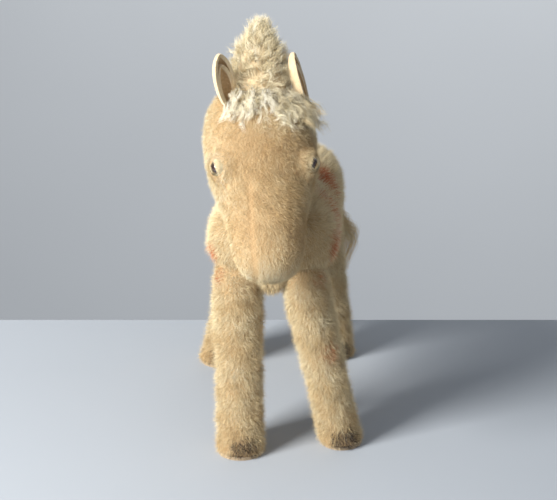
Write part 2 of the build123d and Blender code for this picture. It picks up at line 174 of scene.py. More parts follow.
def set_points(obj: bpy.types.Object, points: Points) -> None:
    """Moves the mesh's vertices."""
    obj.data.vertices.foreach_set("co", points.reshape(-1))
    obj.data.update()


class Wobble:
    """Smooth seeded noise in space, between about -1 and 1."""

    def __init__(self, seed: int, size: float, waves: int = 7) -> None:
        """Args: seed, size: about how far apart its hills are, waves: how many are summed."""
        rng = np.random.default_rng(seed)
        self.directions = unit(rng.normal(size=(waves, 3))) * (2 * pi / size)
        self.directions *= rng.uniform(0.6, 1.5, (waves, 1))
        self.phases = rng.uniform(0, 2 * pi, waves)

    def at(self, points: Points) -> Points:
        """The noise at each point."""
        waves = np.sin(points @ self.directions.T + self.phases)
        return waves.sum(axis=1) / (len(self.phases) ** 0.5 * 1.1)


@dataclass(frozen=True)
class Ring:
    """An ellipse across a limb: its place along it, half axes, and how far its middle is moved."""

    along: float
    wide: float
    deep: float
    x: float = 0.0
    y: float = 0.0


def ring_form(name: str, rings: Sequence[Ring], sides: int = 20, levels: int = 2) -> bpy.types.Object:
    """A closed form extruded ring by ring along Z, then subdivided.

    Args:
        name: the object's name.
        rings: from one end to the other, in metres.
        sides: points round each ring.
        levels: how often the form is subdivided.

    Returns:
        The object, standing along Z at the origin.
    """
    clear_selection()
    first = rings[0]
    bpy.ops.mesh.primitive_circle_add(vertices=sides, radius=1.0, fill_type="NGON")
    obj = bpy.context.object
    obj.name = name
    obj.data.name = name
    bpy.ops.object.mode_set(mode="EDIT")
    bpy.ops.mesh.select_all(action="SELECT")
    bpy.ops.transform.resize(value=(first.wide, first.deep, 1.0), center_override=(0, 0, 0))
    bpy.ops.transform.translate(value=(first.x, first.y, first.along))
    before = first
    for ring in rings[1:]:
        step = (ring.x - before.x, ring.y - before.y, ring.along - before.along)
        bpy.ops.mesh.extrude_region_move(TRANSFORM_OT_translate={"value": step})
        bpy.ops.transform.resize(
            value=(ring.wide / before.wide, ring.deep / before.deep, 1.0),
            center_override=(ring.x, ring.y, ring.along),
        )
        before = ring
    bpy.ops.mesh.select_all(action="SELECT")
    bpy.ops.mesh.normals_make_consistent(inside=False)
    bpy.ops.object.mode_set(mode="OBJECT")
    if levels:
        apply_modifier(obj, "SUBSURF", levels=levels, render_levels=levels)
    return obj


def placed(obj: bpy.types.Object, matrix: Matrix) -> bpy.types.Object:
    """Moves a mesh within its object, which stays at the origin."""
    obj.data.transform(matrix)
    obj.matrix_world = Matrix.Identity(4)
    obj.data.update()
    return obj


def frame_matrix(origin: Points, x_axis: Points, z_axis: Points) -> Matrix:
    """The matrix of a frame from its origin, its x axis and its z axis."""
    z = unit(z_axis)
    x = unit(x_axis - z * np.dot(x_axis, z))
    y = np.cross(z, x)
    rows = [[x[i], y[i], z[i], origin[i]] for i in range(3)]
    return Matrix([*rows, [0, 0, 0, 1]])


@dataclass(frozen=True)
class Stuffing:
    """How a sewn skin swells over its stuffing by cloth simulation."""

    voxel: float = 1.7 * MM
    pressure: float = 4.0
    cap: float = 1.2 * MM
    frames: int = 20
    groove: float = 1.6 * MM

    def fill(self, obj: bpy.types.Object, seams: Field) -> None:
        """Swells a closed skin between its seams.

        Args:
            obj: the skin.
            seams: gives how far each point is from the nearest seam.
        """
        clear_selection()
        obj.select_set(True)
        bpy.context.view_layer.objects.active = obj
        obj.data.remesh_voxel_size = self.voxel
        bpy.ops.object.voxel_remesh()
        rest = points_of(obj)
        held = np.flatnonzero(seams(rest) < self.groove)
        self.simulate(obj, rest, held)
        apply_modifier(obj, "SMOOTH", factor=0.5, iterations=2)

    def simulate(self, obj: bpy.types.Object, rest: Points, held: Points) -> None:
        """Runs the cloth, holds its travel to the cap, and leaves the result in the mesh."""
        group = obj.vertex_groups.new(name="seams")
        group.add([int(i) for i in held], 1.0, "REPLACE")
        cloth = obj.modifiers.new("Cloth", "CLOTH")
        cloth.settings.use_pressure = True
        cloth.settings.uniform_pressure_force = self.pressure
        cloth.settings.effector_weights.gravity = 0.0
        cloth.settings.vertex_group_mass = "seams"
        scene = bpy.context.scene
        scene.frame_start, scene.frame_end = 1, self.frames
        for step in range(1, self.frames + 1):
            scene.frame_set(step)
        shown = obj.evaluated_get(bpy.context.evaluated_depsgraph_get())
        moved = np.empty(len(shown.data.vertices) * 3)
        shown.data.vertices.foreach_get("co", moved)
        travel = moved.reshape(-1, 3) - rest
        size = np.linalg.norm(travel, axis=1, keepdims=True)
        travel *= np.minimum(1.0, self.cap / np.maximum(size, 1e-9))
        obj.modifiers.remove(cloth)
        scene.frame_set(1)
        set_points(obj, rest + travel)
        log.info("%s swelled by up to %.2f mm", obj.name, float(size.max()) / MM)


def vertex_normals(obj: bpy.types.Object) -> Points:
    """The mesh's vertex normals."""
    found = np.empty(len(obj.data.vertices) * 3, np.float32)
    obj.data.vertex_normals.foreach_get("vector", found)
    return found.reshape(-1, 3).astype(float)


# ------------------------------------------------------------------ finishes
class Nodes:
    """A node material in the making."""

    def __init__(self, name: str, roughness: float) -> None:
        """Args: name: the material's name, roughness: of its shader."""
        self.material = bpy.data.materials.new(name)
        self.material.use_nodes = True
        self.tree = self.material.node_tree
        self.shader = self.tree.nodes["Principled BSDF"]
        self.shader.inputs["Roughness"].default_value = roughness

    def add(self, kind: str, **settings) -> bpy.types.Node:
        """Adds a node with the given properties."""
        node = self.tree.nodes.new(kind)
        for name, value in settings.items():
            setattr(node, name, value)
        return node

    def link(self, source, target) -> None:
        """Joins two sockets."""
        self.tree.links.new(source, target)

    def ramp(self, value, stops: Sequence[tuple[float, Colour]]):
        """A colour ramp over a value, and its colour socket."""
        node = self.add("ShaderNodeValToRGB")
        elements = node.color_ramp.elements
        while len(elements) < len(stops):
            elements.new(0.5)
        for element, (place, _) in zip(elements, stops):
            element.position = place
        for element, (_, colour) in zip(elements, stops):
            element.color = (*colour, 1.0)
        self.link(value, node.inputs["Fac"])
        return node.outputs["Color"]

    def noise(self, scale: float, detail: float = 3.0, vector=None):
        """A noise texture on object coordinates, and its value socket."""
        node = self.add("ShaderNodeTexNoise")
        node.inputs["Scale"].default_value = scale
        node.inputs["Detail"].default_value = detail
        self.link(vector or self.place(), node.inputs["Vector"])
        return node.outputs["Fac"]

    def place(self):
        """The object coordinates."""
        return self.add("ShaderNodeTexCoord").outputs["Object"]

    def bump(self, height, strength: float, distance: float) -> None:
        """Raises the surface by a height socket."""
        node = self.add("ShaderNodeBump")
        node.inputs["Strength"].default_value = strength
        node.inputs["Distance"].default_value = distance
        self.link(height, node.inputs["Height"])
        self.link(node.outputs["Normal"], self.shader.inputs["Normal"])

    def colour(self, socket) -> None:
        """Gives the shader its base colour."""
        self.link(socket, self.shader.inputs["Base Color"])


@dataclass(frozen=True)
class Mohair:
    """Pile yarn, from its dyed shades and from root to tip; painted shade darkens each strand towards its
    root.
    """

    name: str = "mohair"
    deep: Colour = (0.46, 0.29, 0.12)
    tan: Colour = (0.68, 0.475, 0.225)
    cream: Colour = (0.85, 0.71, 0.44)
    pale: Colour = (0.92, 0.83, 0.60)
    white: Colour = (0.95, 0.91, 0.78)
    orange: Colour = (0.60, 0.15, 0.04)
    dark: Colour = (0.035, 0.026, 0.022)
    # how dark the painted shade makes a strand at its root
    painted_root_shade: float = 0.66
    roughness: float = 0.55
    sheen: float = 0.25

    def material(self) -> bpy.types.Material:
        """The yarn's material, read from the pile's own map."""
        made = Nodes(self.name, self.roughness)
        uv = made.add("ShaderNodeUVMap", uv_map=PILE_MAP)
        parts = made.add("ShaderNodeSeparateXYZ")
        made.link(uv.outputs["UV"], parts.inputs["Vector"])
        top = Dye.MOHAIR.value[1]
        stops = [
            (0.0, self.deep),
            (top * 0.3, self.tan),
            (top * 0.6, self.cream),
            (top * 0.85, self.pale),
            (top, self.white),
            (Dye.ORANGE.value[0], self.orange),
            (Dye.ORANGE.value[1], self.orange),
            (Dye.DARK.value[0], self.dark),
        ]
        dyed = made.ramp(parts.outputs["X"], stops)
        # painted shade: each strand darkens towards its root, where the pile shades itself
        shade = (self.painted_root_shade,) * 3
        along = made.ramp(parts.outputs["Y"], [(0.0, shade), (0.7, (1.0, 1.0, 1.0))])
        mix = made.add("ShaderNodeMix", data_type="RGBA", blend_type="MULTIPLY")
        mix.inputs["Factor"].default_value = 1.0
        made.link(dyed, mix.inputs["A"])
        made.link(along, mix.inputs["B"])
        made.colour(mix.outputs["Result"])
        made.shader.inputs["Sheen Weight"].default_value = self.sheen
        made.shader.inputs["Sheen Roughness"].default_value = 0.4
        made.shader.inputs["Specular IOR Level"].default_value = 0.3
        return made.material


@dataclass(frozen=True)
class Backing:
    """The woven ground that the pile stands on."""

    name: str = "backing"
    warp: Colour = (0.45, 0.29, 0.14)
    weft: Colour = (0.58, 0.40, 0.21)
    pitch: float = 0.7 * MM

    def material(self) -> bpy.types.Material:
        """A plain weave with worn patches."""
        made = Nodes(self.name, 0.85)
        wave = made.add("ShaderNodeTexChecker")
        wave.inputs["Scale"].default_value = 1.0 / self.pitch
        wave.inputs["Color1"].default_value = (*self.warp, 1.0)
        wave.inputs["Color2"].default_value = (*self.weft, 1.0)
        made.link(made.place(), wave.inputs["Vector"])
        made.colour(wave.outputs["Color"])
        made.bump(made.noise(2.0 / self.pitch), 0.4, 0.2 * MM)
        return made.material


@dataclass(frozen=True)
class Felt:
    """Pressed wool felt."""

    name: str
    dark: Colour
    light: Colour
    fibre: float = 0.35 * MM

    def material(self) -> bpy.types.Material:
        """Mottled felt with short loose fibres."""
        made = Nodes(self.name, 0.9)
        mottle = made.noise(0.35 / self.fibre, 5.0)
        made.colour(made.ramp(mottle, [(0.3, self.dark), (0.7, self.light)]))
        made.bump(made.noise(1.5 / self.fibre, 6.0), 0.6, 0.25 * MM)
        made.shader.inputs["Sheen Weight"].default_value = 0.5
        return made.material


@dataclass(frozen=True)
class Glass:
    """A dark glass bead."""

    name: str = "eye_glass"
    rim: Colour = (0.075, 0.035, 0.03)
    heart: Colour = (0.006, 0.004, 0.008)

    def material(self) -> bpy.types.Material:
        """Polished, nearly black glass with a faint brown cast."""
        made = Nodes(self.name, 0.08)
        cloud = made.noise(900.0, 2.0)
        made.colour(made.ramp(cloud, [(0.35, self.heart), (0.75, self.rim)]))
        made.shader.inputs["Coat Weight"].default_value = 1.0
        made.shader.inputs["Coat Roughness"].default_value = 0.03
        return made.material


@dataclass(frozen=True)
class Metal:
    """Drawn steel wire."""

    name: str = "steel_wire"
    bright: Colour = (0.60, 0.60, 0.62)
    dull: Colour = (0.36, 0.35, 0.34)

    def material(self) -> bpy.types.Material:
        """Steel with drawing marks and dull spots."""
        made = Nodes(self.name, 0.35)
        spots = made.noise(700.0, 4.0)
        made.colour(made.ramp(spots, [(0.4, self.dull), (0.65, self.bright)]))
        made.shader.inputs["Metallic"].default_value = 1.0
        made.bump(made.noise(2500.0, 2.0), 0.2, 0.05 * MM)
        return made.material


@dataclass(frozen=True)
class Thread:
    """Waxed cotton thread."""

    name: str
    dark: Colour
    light: Colour
    twist: float = 2400.0

    def material(self) -> bpy.types.Material:
        """Twisted plies, as fine slanting bands."""
        made = Nodes(self.name, 0.7)
        bands = made.add("ShaderNodeTexWave", wave_type="BANDS", bands_direction="DIAGONAL")
        bands.inputs["Scale"].default_value = self.twist / 20
        bands.inputs["Distortion"].default_value = 1.5
        made.link(made.place(), bands.inputs["Vector"])
        made.colour(made.ramp(bands.outputs["Fac"], [(0.2, self.dark), (0.8, self.light)]))
        made.bump(bands.outputs["Fac"], 0.5, 0.1 * MM)
        return made.material


# ------------------------------------------------------------------ pile
@dataclass(frozen=True)
class PileStyle:
    """How a stretch of plush is woven and brushed."""

    per_mm2: float
    length: float
    width: float = 0.19 * MM
    lean: float = 42.0
    scatter: float = 0.32
    clump: float = 1.6 * MM
    gather: float = 0.35
    curl: float = 0.25
    parts: int = 2
    roll: float = 65.0
    drift: float = 0.45
    patch: float = 0.18


@dataclass
class Pile:
    """Pile on one skin: where it grows, how it lies and which shade each strand is."""

    skin: bpy.types.Object
    style: PileStyle
    flow: Field
    shade: Field
    reach: Field = lambda points: np.ones(len(points))
    orange: Field = lambda points: np.zeros(len(points))
    dark: Field = lambda points: np.zeros(len(points))
    seed: int = 1

    def roots(self, rng: np.random.Generator) -> tuple[Points, Points]:
        """Evenly scattered roots on the skin, with their normals."""
        mesh = self.skin.data
        mesh.calc_loop_triangles()
        count = len(mesh.loop_triangles)
        corners = np.empty(count * 3, np.int32)
        mesh.loop_triangles.foreach_get("vertices", corners)
        corners = corners.reshape(-1, 3)
        points = points_of(self.skin)
        normals = vertex_normals(self.skin)
        a, b, c = (points[corners[:, i]] for i in range(3))
        area = np.linalg.norm(np.cross(b - a, c - a), axis=1) / 2
        wanted = int(area.sum() / MM**2 * self.style.per_mm2)
        steps = (np.arange(wanted) + rng.uniform(0, 1, wanted)) / wanted
        edges = np.cumsum(area) / area.sum()
        face = np.minimum(np.searchsorted(edges, steps), count - 1)
        u, v = rng.uniform(0, 1, (2, wanted))
        fold = u + v > 1
        u[fold], v[fold] = 1 - u[fold], 1 - v[fold]
        share = np.stack([1 - u - v, u, v], axis=1)[:, :, None]
        return (
            (points[corners[face]] * share).sum(axis=1),
            unit((normals[corners[face]] * share).sum(axis=1)),
        )

    def strands(self, hidden_by: Sequence[bpy.types.Object] = ()) -> "Strands":
        """Grows the pile, leaving out what other skins hide."""
        rng = np.random.default_rng(self.seed)
        style = self.style
        root, normal = self.roots(rng)
        shown = outside_of(root, hidden_by)
        reach = self.reach(root)
        keep = shown & (rng.uniform(0, 1, len(root)) < np.clip(reach * 4, 0, 1))
        root, normal, reach = root[keep], normal[keep], reach[keep]
        lie = self.flow(root)
        lie = unit(lie - normal * (lie * normal).sum(axis=1, keepdims=True))
        count = len(root)
        drift = np.stack([Wobble(self.seed + k, 9 * MM).at(root) for k in (11, 12, 13)], axis=1)
        lie = unit(lie + style.drift * drift + 1e-6)
        lean = radians(style.lean) * (1 + 0.25 * Wobble(self.seed + 14, 6 * MM).at(root))
        lean = (lean + rng.normal(0, style.scatter * 0.5, count))[:, None]
        start = unit(normal * np.cos(lean) + lie * np.sin(lean))
        start = unit(start + rng.normal(0, style.scatter, (count, 3)))
        below = (start * normal).sum(axis=1, keepdims=True)
        start = unit(start + normal * np.maximum(0.15 - below, 0.0))
        long = style.length * reach * rng.uniform(0.7, 1.15, count)
        long *= 1 + style.patch * Wobble(self.seed + 15, 5 * MM).at(root)
        centre = clump_centres(root, style.clump, self.seed)
        towards = centre - root
        towards -= normal * (towards * normal).sum(axis=1, keepdims=True)
        bend = rng.normal(0, style.curl, (count, 3)) + 0.35 * lie
        path = [root - normal * 0.3 * MM]
        for part in range(1, style.parts + 1):
            share = part / style.parts
            way = unit(start + bend * share)
            at = root + way * (long * share)[:, None] + towards * (style.gather * share**1.5)
            path.append(at)
        tone = self.shade(root) + rng.normal(0, 0.075, count)
        tone += 0.06 * Wobble(self.seed + 16, 4 * MM).at(centre)
        u = Dye.MOHAIR.across(tone)
        tint = rng.uniform(0, 1, count)
        u = np.where(self.orange(root) > tint, Dye.ORANGE.across(tint), u)
        u = np.where(self.dark(root) > tint, Dye.DARK.across(tint), u)
        roll = radians(style.roll) * rng.uniform(-1, 1, count)
        side = unit(np.cross(start, normal + 1e-6))
        face = unit(np.cross(side, start))
        blade = side * np.cos(roll)[:, None] + face * np.sin(roll)[:, None]
        return Strands(np.stack(path, axis=1), blade, style.width * rng.uniform(0.7, 1.2, count), u)


@dataclass
class Strands:
    """Strands as paths, the way each blade faces, its width and its place across the shade map."""

    path: Points
    blade: Points
    width: Points
    u: Points

    def part(self, which: Points) -> "Strands":
        """Some of the strands."""
        return Strands(self.path[which], self.blade[which], self.width[which], self.u[which])

    def mesh(self, name: str) -> bpy.types.Object:
        """One mesh of tapering blades, each a row of faces that ends in a point.

        Args:
            name: the object's name.

        Returns:
            The object, at the origin.
        """
        count, stations, _ = self.path.shape
        taper = np.linspace(1.0, 0.45, stations - 1)[None, :, None]
        half = self.blade[:, None, :] * (self.width / 2)[:, None, None] * taper
        body = self.path[:, :-1]
        pairs = np.stack([body - half, body + half], axis=2).reshape(count, -1, 3)
        points = np.concatenate([pairs, self.path[:, -1:]], axis=1)
        per = points.shape[1]
        quads = [(2 * i, 2 * i + 1, 2 * i + 3, 2 * i + 2) for i in range(stations - 2)]
        tip = (per - 3, per - 2, per - 1)
        starts, corners = [], []
        for face in [*quads, tip]:
            starts.append(len(corners))
            corners.extend(face)
        loops = (np.array(corners)[None, :] + (np.arange(count) * per)[:, None]).reshape(-1)
        first = (np.array(starts)[None, :] + (np.arange(count) * len(corners))[:, None]).reshape(-1)
        up = np.concatenate([np.repeat(np.linspace(0, 1, stations)[:-1], 2), [1.0]])
        spread = np.concatenate([np.tile([-1.0, 1.0], stations - 1), [0.0]]) * 0.003
        mesh = bpy.data.meshes.new(name)
        mesh.vertices.add(count * per)
        mesh.vertices.foreach_set("co", points.reshape(-1))
        mesh.loops.add(len(loops))
        mesh.loops.foreach_set("vertex_index", loops.astype(np.int32))
        mesh.polygons.add(len(first))
        mesh.polygons.foreach_set("loop_start", first.astype(np.int32))
        mesh.update(calc_edges=True)
        across = self.u[:, None] + spread[corners][None, :]
        height = np.broadcast_to(up[corners][None, :], across.shape)
        places = np.stack([across, height], axis=2).reshape(-1)
        for label in (PILE_MAP, BAKE_MAP):
            mesh.uv_layers.new(name=label).uv.foreach_set("vector", places)
        mesh.polygons.foreach_set("use_smooth", np.ones(len(first), bool))
        obj = bpy.data.objects.new(name, mesh)
        bpy.context.scene.collection.objects.link(obj)
        return obj


def clump_centres(points: Points, size: float, seed: int) -> Points:
    """The nearest of a jittered grid of points to each point, which gathers strands in tufts."""
    cell = np.floor(points / size).astype(np.int64)
    best = np.full(len(points), 1e9)
    found = np.zeros_like(points)
    for dx in (-1, 0, 1):
        for dy in (-1, 0, 1):
            for dz in (-1, 0, 1):
                at = cell + (dx, dy, dz)
                mixed = at[:, 0] * 73856093 ^ at[:, 1] * 19349663 ^ at[:, 2] * 83492791 ^ seed
                jitter = np.stack([(mixed >> s & 1023) / 1023 for s in (0, 7, 13)], axis=1)
                centre = (at + jitter) * size
                away = ((centre - points) ** 2).sum(axis=1)
                closer = away < best
                best[closer], found[closer] = away[closer], centre[closer]
    return found


def outside_of(points: Points, skins: Sequence[bpy.types.Object], depth: float = 0.6 * MM) -> Points:
    """True for each point that lies in none of some closed skins by more than a depth."""
    shown = np.ones(len(points), bool)
    for skin in skins:
        tree = BVHTree.FromObject(skin, bpy.context.evaluated_depsgraph_get())
        low, high = points_of(skin).min(axis=0), points_of(skin).max(axis=0)
        inside = np.flatnonzero(((points > low) & (points < high)).all(axis=1) & shown)
        for i in inside:
            place, normal, _, _ = tree.find_nearest(Vector(points[i]))
            if place is not None and (Vector(points[i]) - place).dot(normal) < -depth:
                shown[i] = False
    return shown


@dataclass(frozen=True)
class Locks:
    """Long hair in curling locks, each a bundle of strands round its own guide."""

    count: int
    strands: int
    length: float
    spread: float = 1.5 * MM
    wave: float = 0.9 * MM
    turns: float = 1.6
    width: float = 0.2 * MM
    stations: int = 8
    seed: int = 5

    def grow(self, root: Points, way: Points, fall: Points, tone: Points) -> Strands:
        """Grows one bundle from each guide.

        Args:
            root: where each lock starts.
            way: the direction that each lock leaves in.
            fall: how each lock has turned by its end, added to its way.
            tone: how pale each lock is, from 0 to 1.

        Returns:
            The strands of all locks.
        """
        rng = np.random.default_rng(self.seed)
        locks = len(root)
        t = np.linspace(0, 1, self.stations)
        long = self.length * rng.uniform(0.7, 1.1, locks)
        lead = unit(way)[:, None, :] + fall[:, None, :] * t[None, :, None]
        steps = unit(lead) * (long / (self.stations - 1))[:, None, None]
        guide = root[:, None, :] + np.concatenate(
            [np.zeros((locks, 1, 3)), np.cumsum(steps, axis=1)[:, :-1]], axis=1
        )
        side = unit(np.cross(unit(way), rng.normal(size=(locks, 3))))
        other = unit(np.cross(unit(way), side))
        phase = rng.uniform(0, 2 * pi, locks)[:, None] + 2 * pi * self.turns * t[None, :]
        swing = self.wave * t[None, :] ** 0.7
        guide = guide + side[:, None, :] * (np.sin(phase) * swing)[:, :, None]
        guide = guide + other[:, None, :] * (np.cos(phase) * swing * 0.7)[:, :, None]
        owner = np.repeat(np.arange(locks), self.strands)
        total = len(owner)
        offset = rng.normal(0, self.spread, (total, 3))
        bundle = (1 - 0.75 * t**1.2)[None, :, None]
        fray = rng.normal(0, 0.5 * MM, (total, 3))[:, None, :] * (t**2)[None, :, None]
        stretch = rng.uniform(0.75, 1.05, total)[:, None, None]
        path = guide[owner]
        path = path[:, :1] + (path - path[:, :1]) * stretch + offset[:, None, :] * bundle + fray
        shade = np.clip(tone[owner] + rng.normal(0, 0.06, total), 0, 1)
        blade = unit(np.cross(path[:, 1] - path[:, 0], rng.normal(size=(total, 3))))
        width = self.width * rng.uniform(0.7, 1.2, total)
        return Strands(path, blade, width, Dye.MOHAIR.across(shade))


# ------------------------------------------------------------------ dressing
@dataclass
class Wardrobe:
    """Every finish of the foal, made once."""

    mohair: bpy.types.Material = field(default_factory=lambda: Mohair().material())
    backing: bpy.types.Material = field(default_factory=lambda: Backing().material())
    # the ear's felt in its hollow, a darker copy of the rim felt as painted shade
    ear_felt: bpy.types.Material = field(
        default_factory=lambda: Felt("ear_felt", (0.56, 0.36, 0.17), (0.70, 0.48, 0.25)).material()
    )
    ear_rim: bpy.types.Material = field(
        default_factory=lambda: Felt("ear_rim", (0.72, 0.54, 0.31), (0.82, 0.66, 0.42)).material()
    )
    sole_felt: bpy.types.Material = field(
        default_factory=lambda: Felt("sole_felt", (0.46, 0.33, 0.20), (0.60, 0.45, 0.29)).material()
    )
    glass: bpy.types.Material = field(default_factory=lambda: Glass().material())
    steel: bpy.types.Material = field(default_factory=lambda: Metal().material())
    dark_thread: bpy.types.Material = field(
        default_factory=lambda: Thread("dark_thread", (0.05, 0.025, 0.02), (0.13, 0.07, 0.05)).material()
    )
    pale_thread: bpy.types.Material = field(
        default_factory=lambda: Thread("pale_thread", (0.42, 0.29, 0.16), (0.62, 0.47, 0.29)).material()
    )
    hair_core: bpy.types.Material = field(
        default_factory=lambda: Felt("hair_core", (0.66, 0.48, 0.27), (0.84, 0.68, 0.44)).material()
    )
    wood_wool: bpy.types.Material = field(
        default_factory=lambda: Thread("wood_wool", (0.45, 0.34, 0.18), (0.72, 0.60, 0.38), 900.0).material()
    )


def dress(obj: bpy.types.Object, material: bpy.types.Material, body: str) -> None:
    """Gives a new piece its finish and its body."""
    obj.data.materials.clear()
    obj.data.materials.append(material)
    if "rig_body" not in obj:
        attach(obj, body)


def shade_smooth(obj: bpy.types.Object) -> None:
    """Smooths all faces."""
    obj.data.polygons.foreach_set("use_smooth", np.ones(len(obj.data.polygons), bool))


def finish_pile(
    strands: Strands, name: str, split: int, body: str, wardrobe: Wardrobe
) -> None:
    """Turns strands into pieces and dresses them.

    Args:
        strands: all strands of one skin.
        name: of the pieces, which are numbered.
        split: how many pieces to make, so that none is too heavy.
        body: the body that they ride on.
        wardrobe: the finishes.
    """
    owner = np.arange(len(strands.u)) % split
    for part in range(split):
        label = name if split == 1 else f"{name}_{part + 1}"
        piece = strands.part(owner == part).mesh(label)
        dress(piece, wardrobe.mohair, body)
        log.info("%s: %d strands", label, int((owner == part).sum()))


@dataclass
class Torso:
    """The barrel of the body, on the shoulder and hip wires."""

    inset: float = 2.4 * MM
    depth: float = 50.0 * MM
    web: float = 3.0 * MM
    chest_rise: float = 0.50
    haunch_rise: float = 0.30
    boxy: float = 2.7
    web_round: float = 4.0 * MM
    chest_end: tuple[float, float] = (24.0 * MM, 40.0 * MM)
    haunch_start: tuple[float, float] = (48.0 * MM, 30.0 * MM)
    marks: tuple[tuple[float, float, float, float, float], ...] = (
        (-28.0, 12.0, -2.0, 8.0, 0.7),
        (-27.0, 12.0, -9.0, 7.0, 0.65),
        (27.5, 18.0, 2.0, 9.0, 0.8),
        (26.5, 20.0, -8.0, 7.0, 0.7),
        (21.0, 66.0, 17.0, 13.0, 0.9),
        # the two broad, faint marks that follow are partly dye and partly painted shade on the flank away
        # from the key lamp
        (25.0, 40.0, 10.0, 15.0, 0.45),
        (27.0, 30.0, 2.0, 13.0, 0.4),
    )
    style: PileStyle = PileStyle(
        per_mm2=6.0, length=3.9 * MM, width=0.16 * MM, lean=48, clump=1.6 * MM, drift=0.3, patch=0.1
    )
    stuffing: Stuffing = Stuffing()
    shape: tuple[tuple[float, float, float], ...] = (
        (0.0, 0.30, 0.26),
        (0.015, 0.66, 0.60),
        (0.05, 0.90, 0.84),
        (0.11, 1.03, 0.96),
        (0.22, 1.05, 1.0),
        (0.40, 0.97, 0.96),
        (0.60, 0.96, 1.0),
        (0.78, 1.01, 1.10),
        (0.90, 0.88, 0.98),
        (0.965, 0.62, 0.66),
        (1.0, 0.22, 0.25),
    )
    skin: bpy.types.Object = field(init=False)

    def place(self) -> None:
        """Works out where the barrel lies from its panels and gussets."""
        low, high = box_of("torso_panel_left", "torso_panel_right", "chest_gusset", "belly_gusset")
        self.low, self.high = low, high
        self.middle = (low + high) / 2
        self.middle[0] = joint_place("neck_nod")[0]
        self.middle[2] = low[2] + self.depth / 2
        self.half = np.array([(high[0] - low[0]) / 2, 0, self.depth / 2]) - self.inset

    def build(self) -> None:
        """Models the skin, draws its underside up over the tops of the legs and swells it."""
        self.place()
        length = self.high[1] - self.low[1] - 2 * self.inset
        rings = [Ring(s * length, w * self.half[0], d * self.half[2]) for s, w, d in self.shape]
        skin = ring_form("torso_skin", rings)
        start = np.array([self.middle[0], self.low[1] + self.inset, self.middle[2]])
        placed(skin, frame_matrix(start, np.array([1.0, 0, 0]), np.array([0, 1.0, 0])))
        self.skin = skin
        set_points(skin, self.squared(points_of(skin)))
        self.stuffing.fill(skin, self.seams)
        shade_smooth(skin)

    def squared(self, points: Points) -> Points:
        """The barrel with fuller sides, drawn up over the tops of the legs."""
        away = points - self.middle
        u, w = away[:, 0] / self.half[0], away[:, 2] / self.half[2]
        size = np.maximum(np.hypot(u, w), 1e-6)
        full = (np.abs(u / size) ** self.boxy + np.abs(w / size) ** self.boxy) ** (-1 / self.boxy)
        grown = away.copy()
        grown[:, 0] *= full
        grown[:, 2] *= full
        beside = smooth_step(np.abs(grown[:, 0]), self.web, self.web + self.web_round)
        front = 1 - smooth_step(points[:, 1], *(self.low[1] + end for end in self.chest_end))
        back = smooth_step(points[:, 1], *(self.high[1] - start for start in self.haunch_start))
        rise = beside * (self.chest_rise * front + self.haunch_rise * back)
        grown[:, 2] = np.where(grown[:, 2] < 0, grown[:, 2] * (1 - rise), grown[:, 2])
        return self.middle + grown

    def seams(self, points: Points) -> Points:
        """How far each point is from the seams of back and belly."""
        across = points[:, 0] - self.middle[0]
        up = points[:, 2] - self.middle[2]
        back = np.where(up > 0, np.abs(across), 1.0)
        belly = np.where(up < 0, np.abs(np.abs(across) - self.half[0] * 0.45), 1.0)
        return np.minimum(back, belly)

    def flow(self, points: Points) -> Points:
        """The pile lies back along the barrel, down its sides, and straight down the chest."""
        across = (points[:, 0] - self.middle[0]) / self.half[0]
        chest = 1 - smooth_step(points[:, 1], self.low[1] + 6 * MM, self.low[1] + 26 * MM)
        back = 0.9 * (1 - chest)
        down = -0.55 * np.abs(across) - 1.2 * chest
        return np.stack([0.25 * across, back, down], axis=1)

    def shade(self, points: Points) -> Points:
        """Paler on the back, more tan on the belly."""
        up = (points[:, 2] - self.middle[2]) / self.half[2]
        return 0.56 + 0.07 * up + 0.07 * Wobble(3, 25 * MM).at(points)

    def orange(self, points: Points) -> Points:
        """What is left of the first dye, in the folds above the legs and along the left side; the broad
        marks on the left flank are also painted shade.
        """
        share = np.zeros(len(points))
        for x, y, z, size, most in self.marks:
            at = (self.middle[0] + x * MM, self.low[1] + y * MM, self.middle[2] + z * MM)
            share = np.maximum(share, most * near(points, at, size * MM) ** 0.7)
        return share

    def grow(self, hidden_by: Sequence[bpy.types.Object], wardrobe: Wardrobe) -> None:
        """Grows the pile and dresses the skin."""
        pile = Pile(self.skin, self.style, self.flow, self.shade, orange=self.orange, seed=21)
        finish_pile(pile.strands(hidden_by), "torso_pile", 2, "torso", wardrobe)
        dress(self.skin, wardrobe.backing, "torso")
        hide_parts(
            "torso_panel_left",
            "torso_panel_right",
            "chest_gusset",
            "belly_gusset",
            "torso_stuffing",
        )


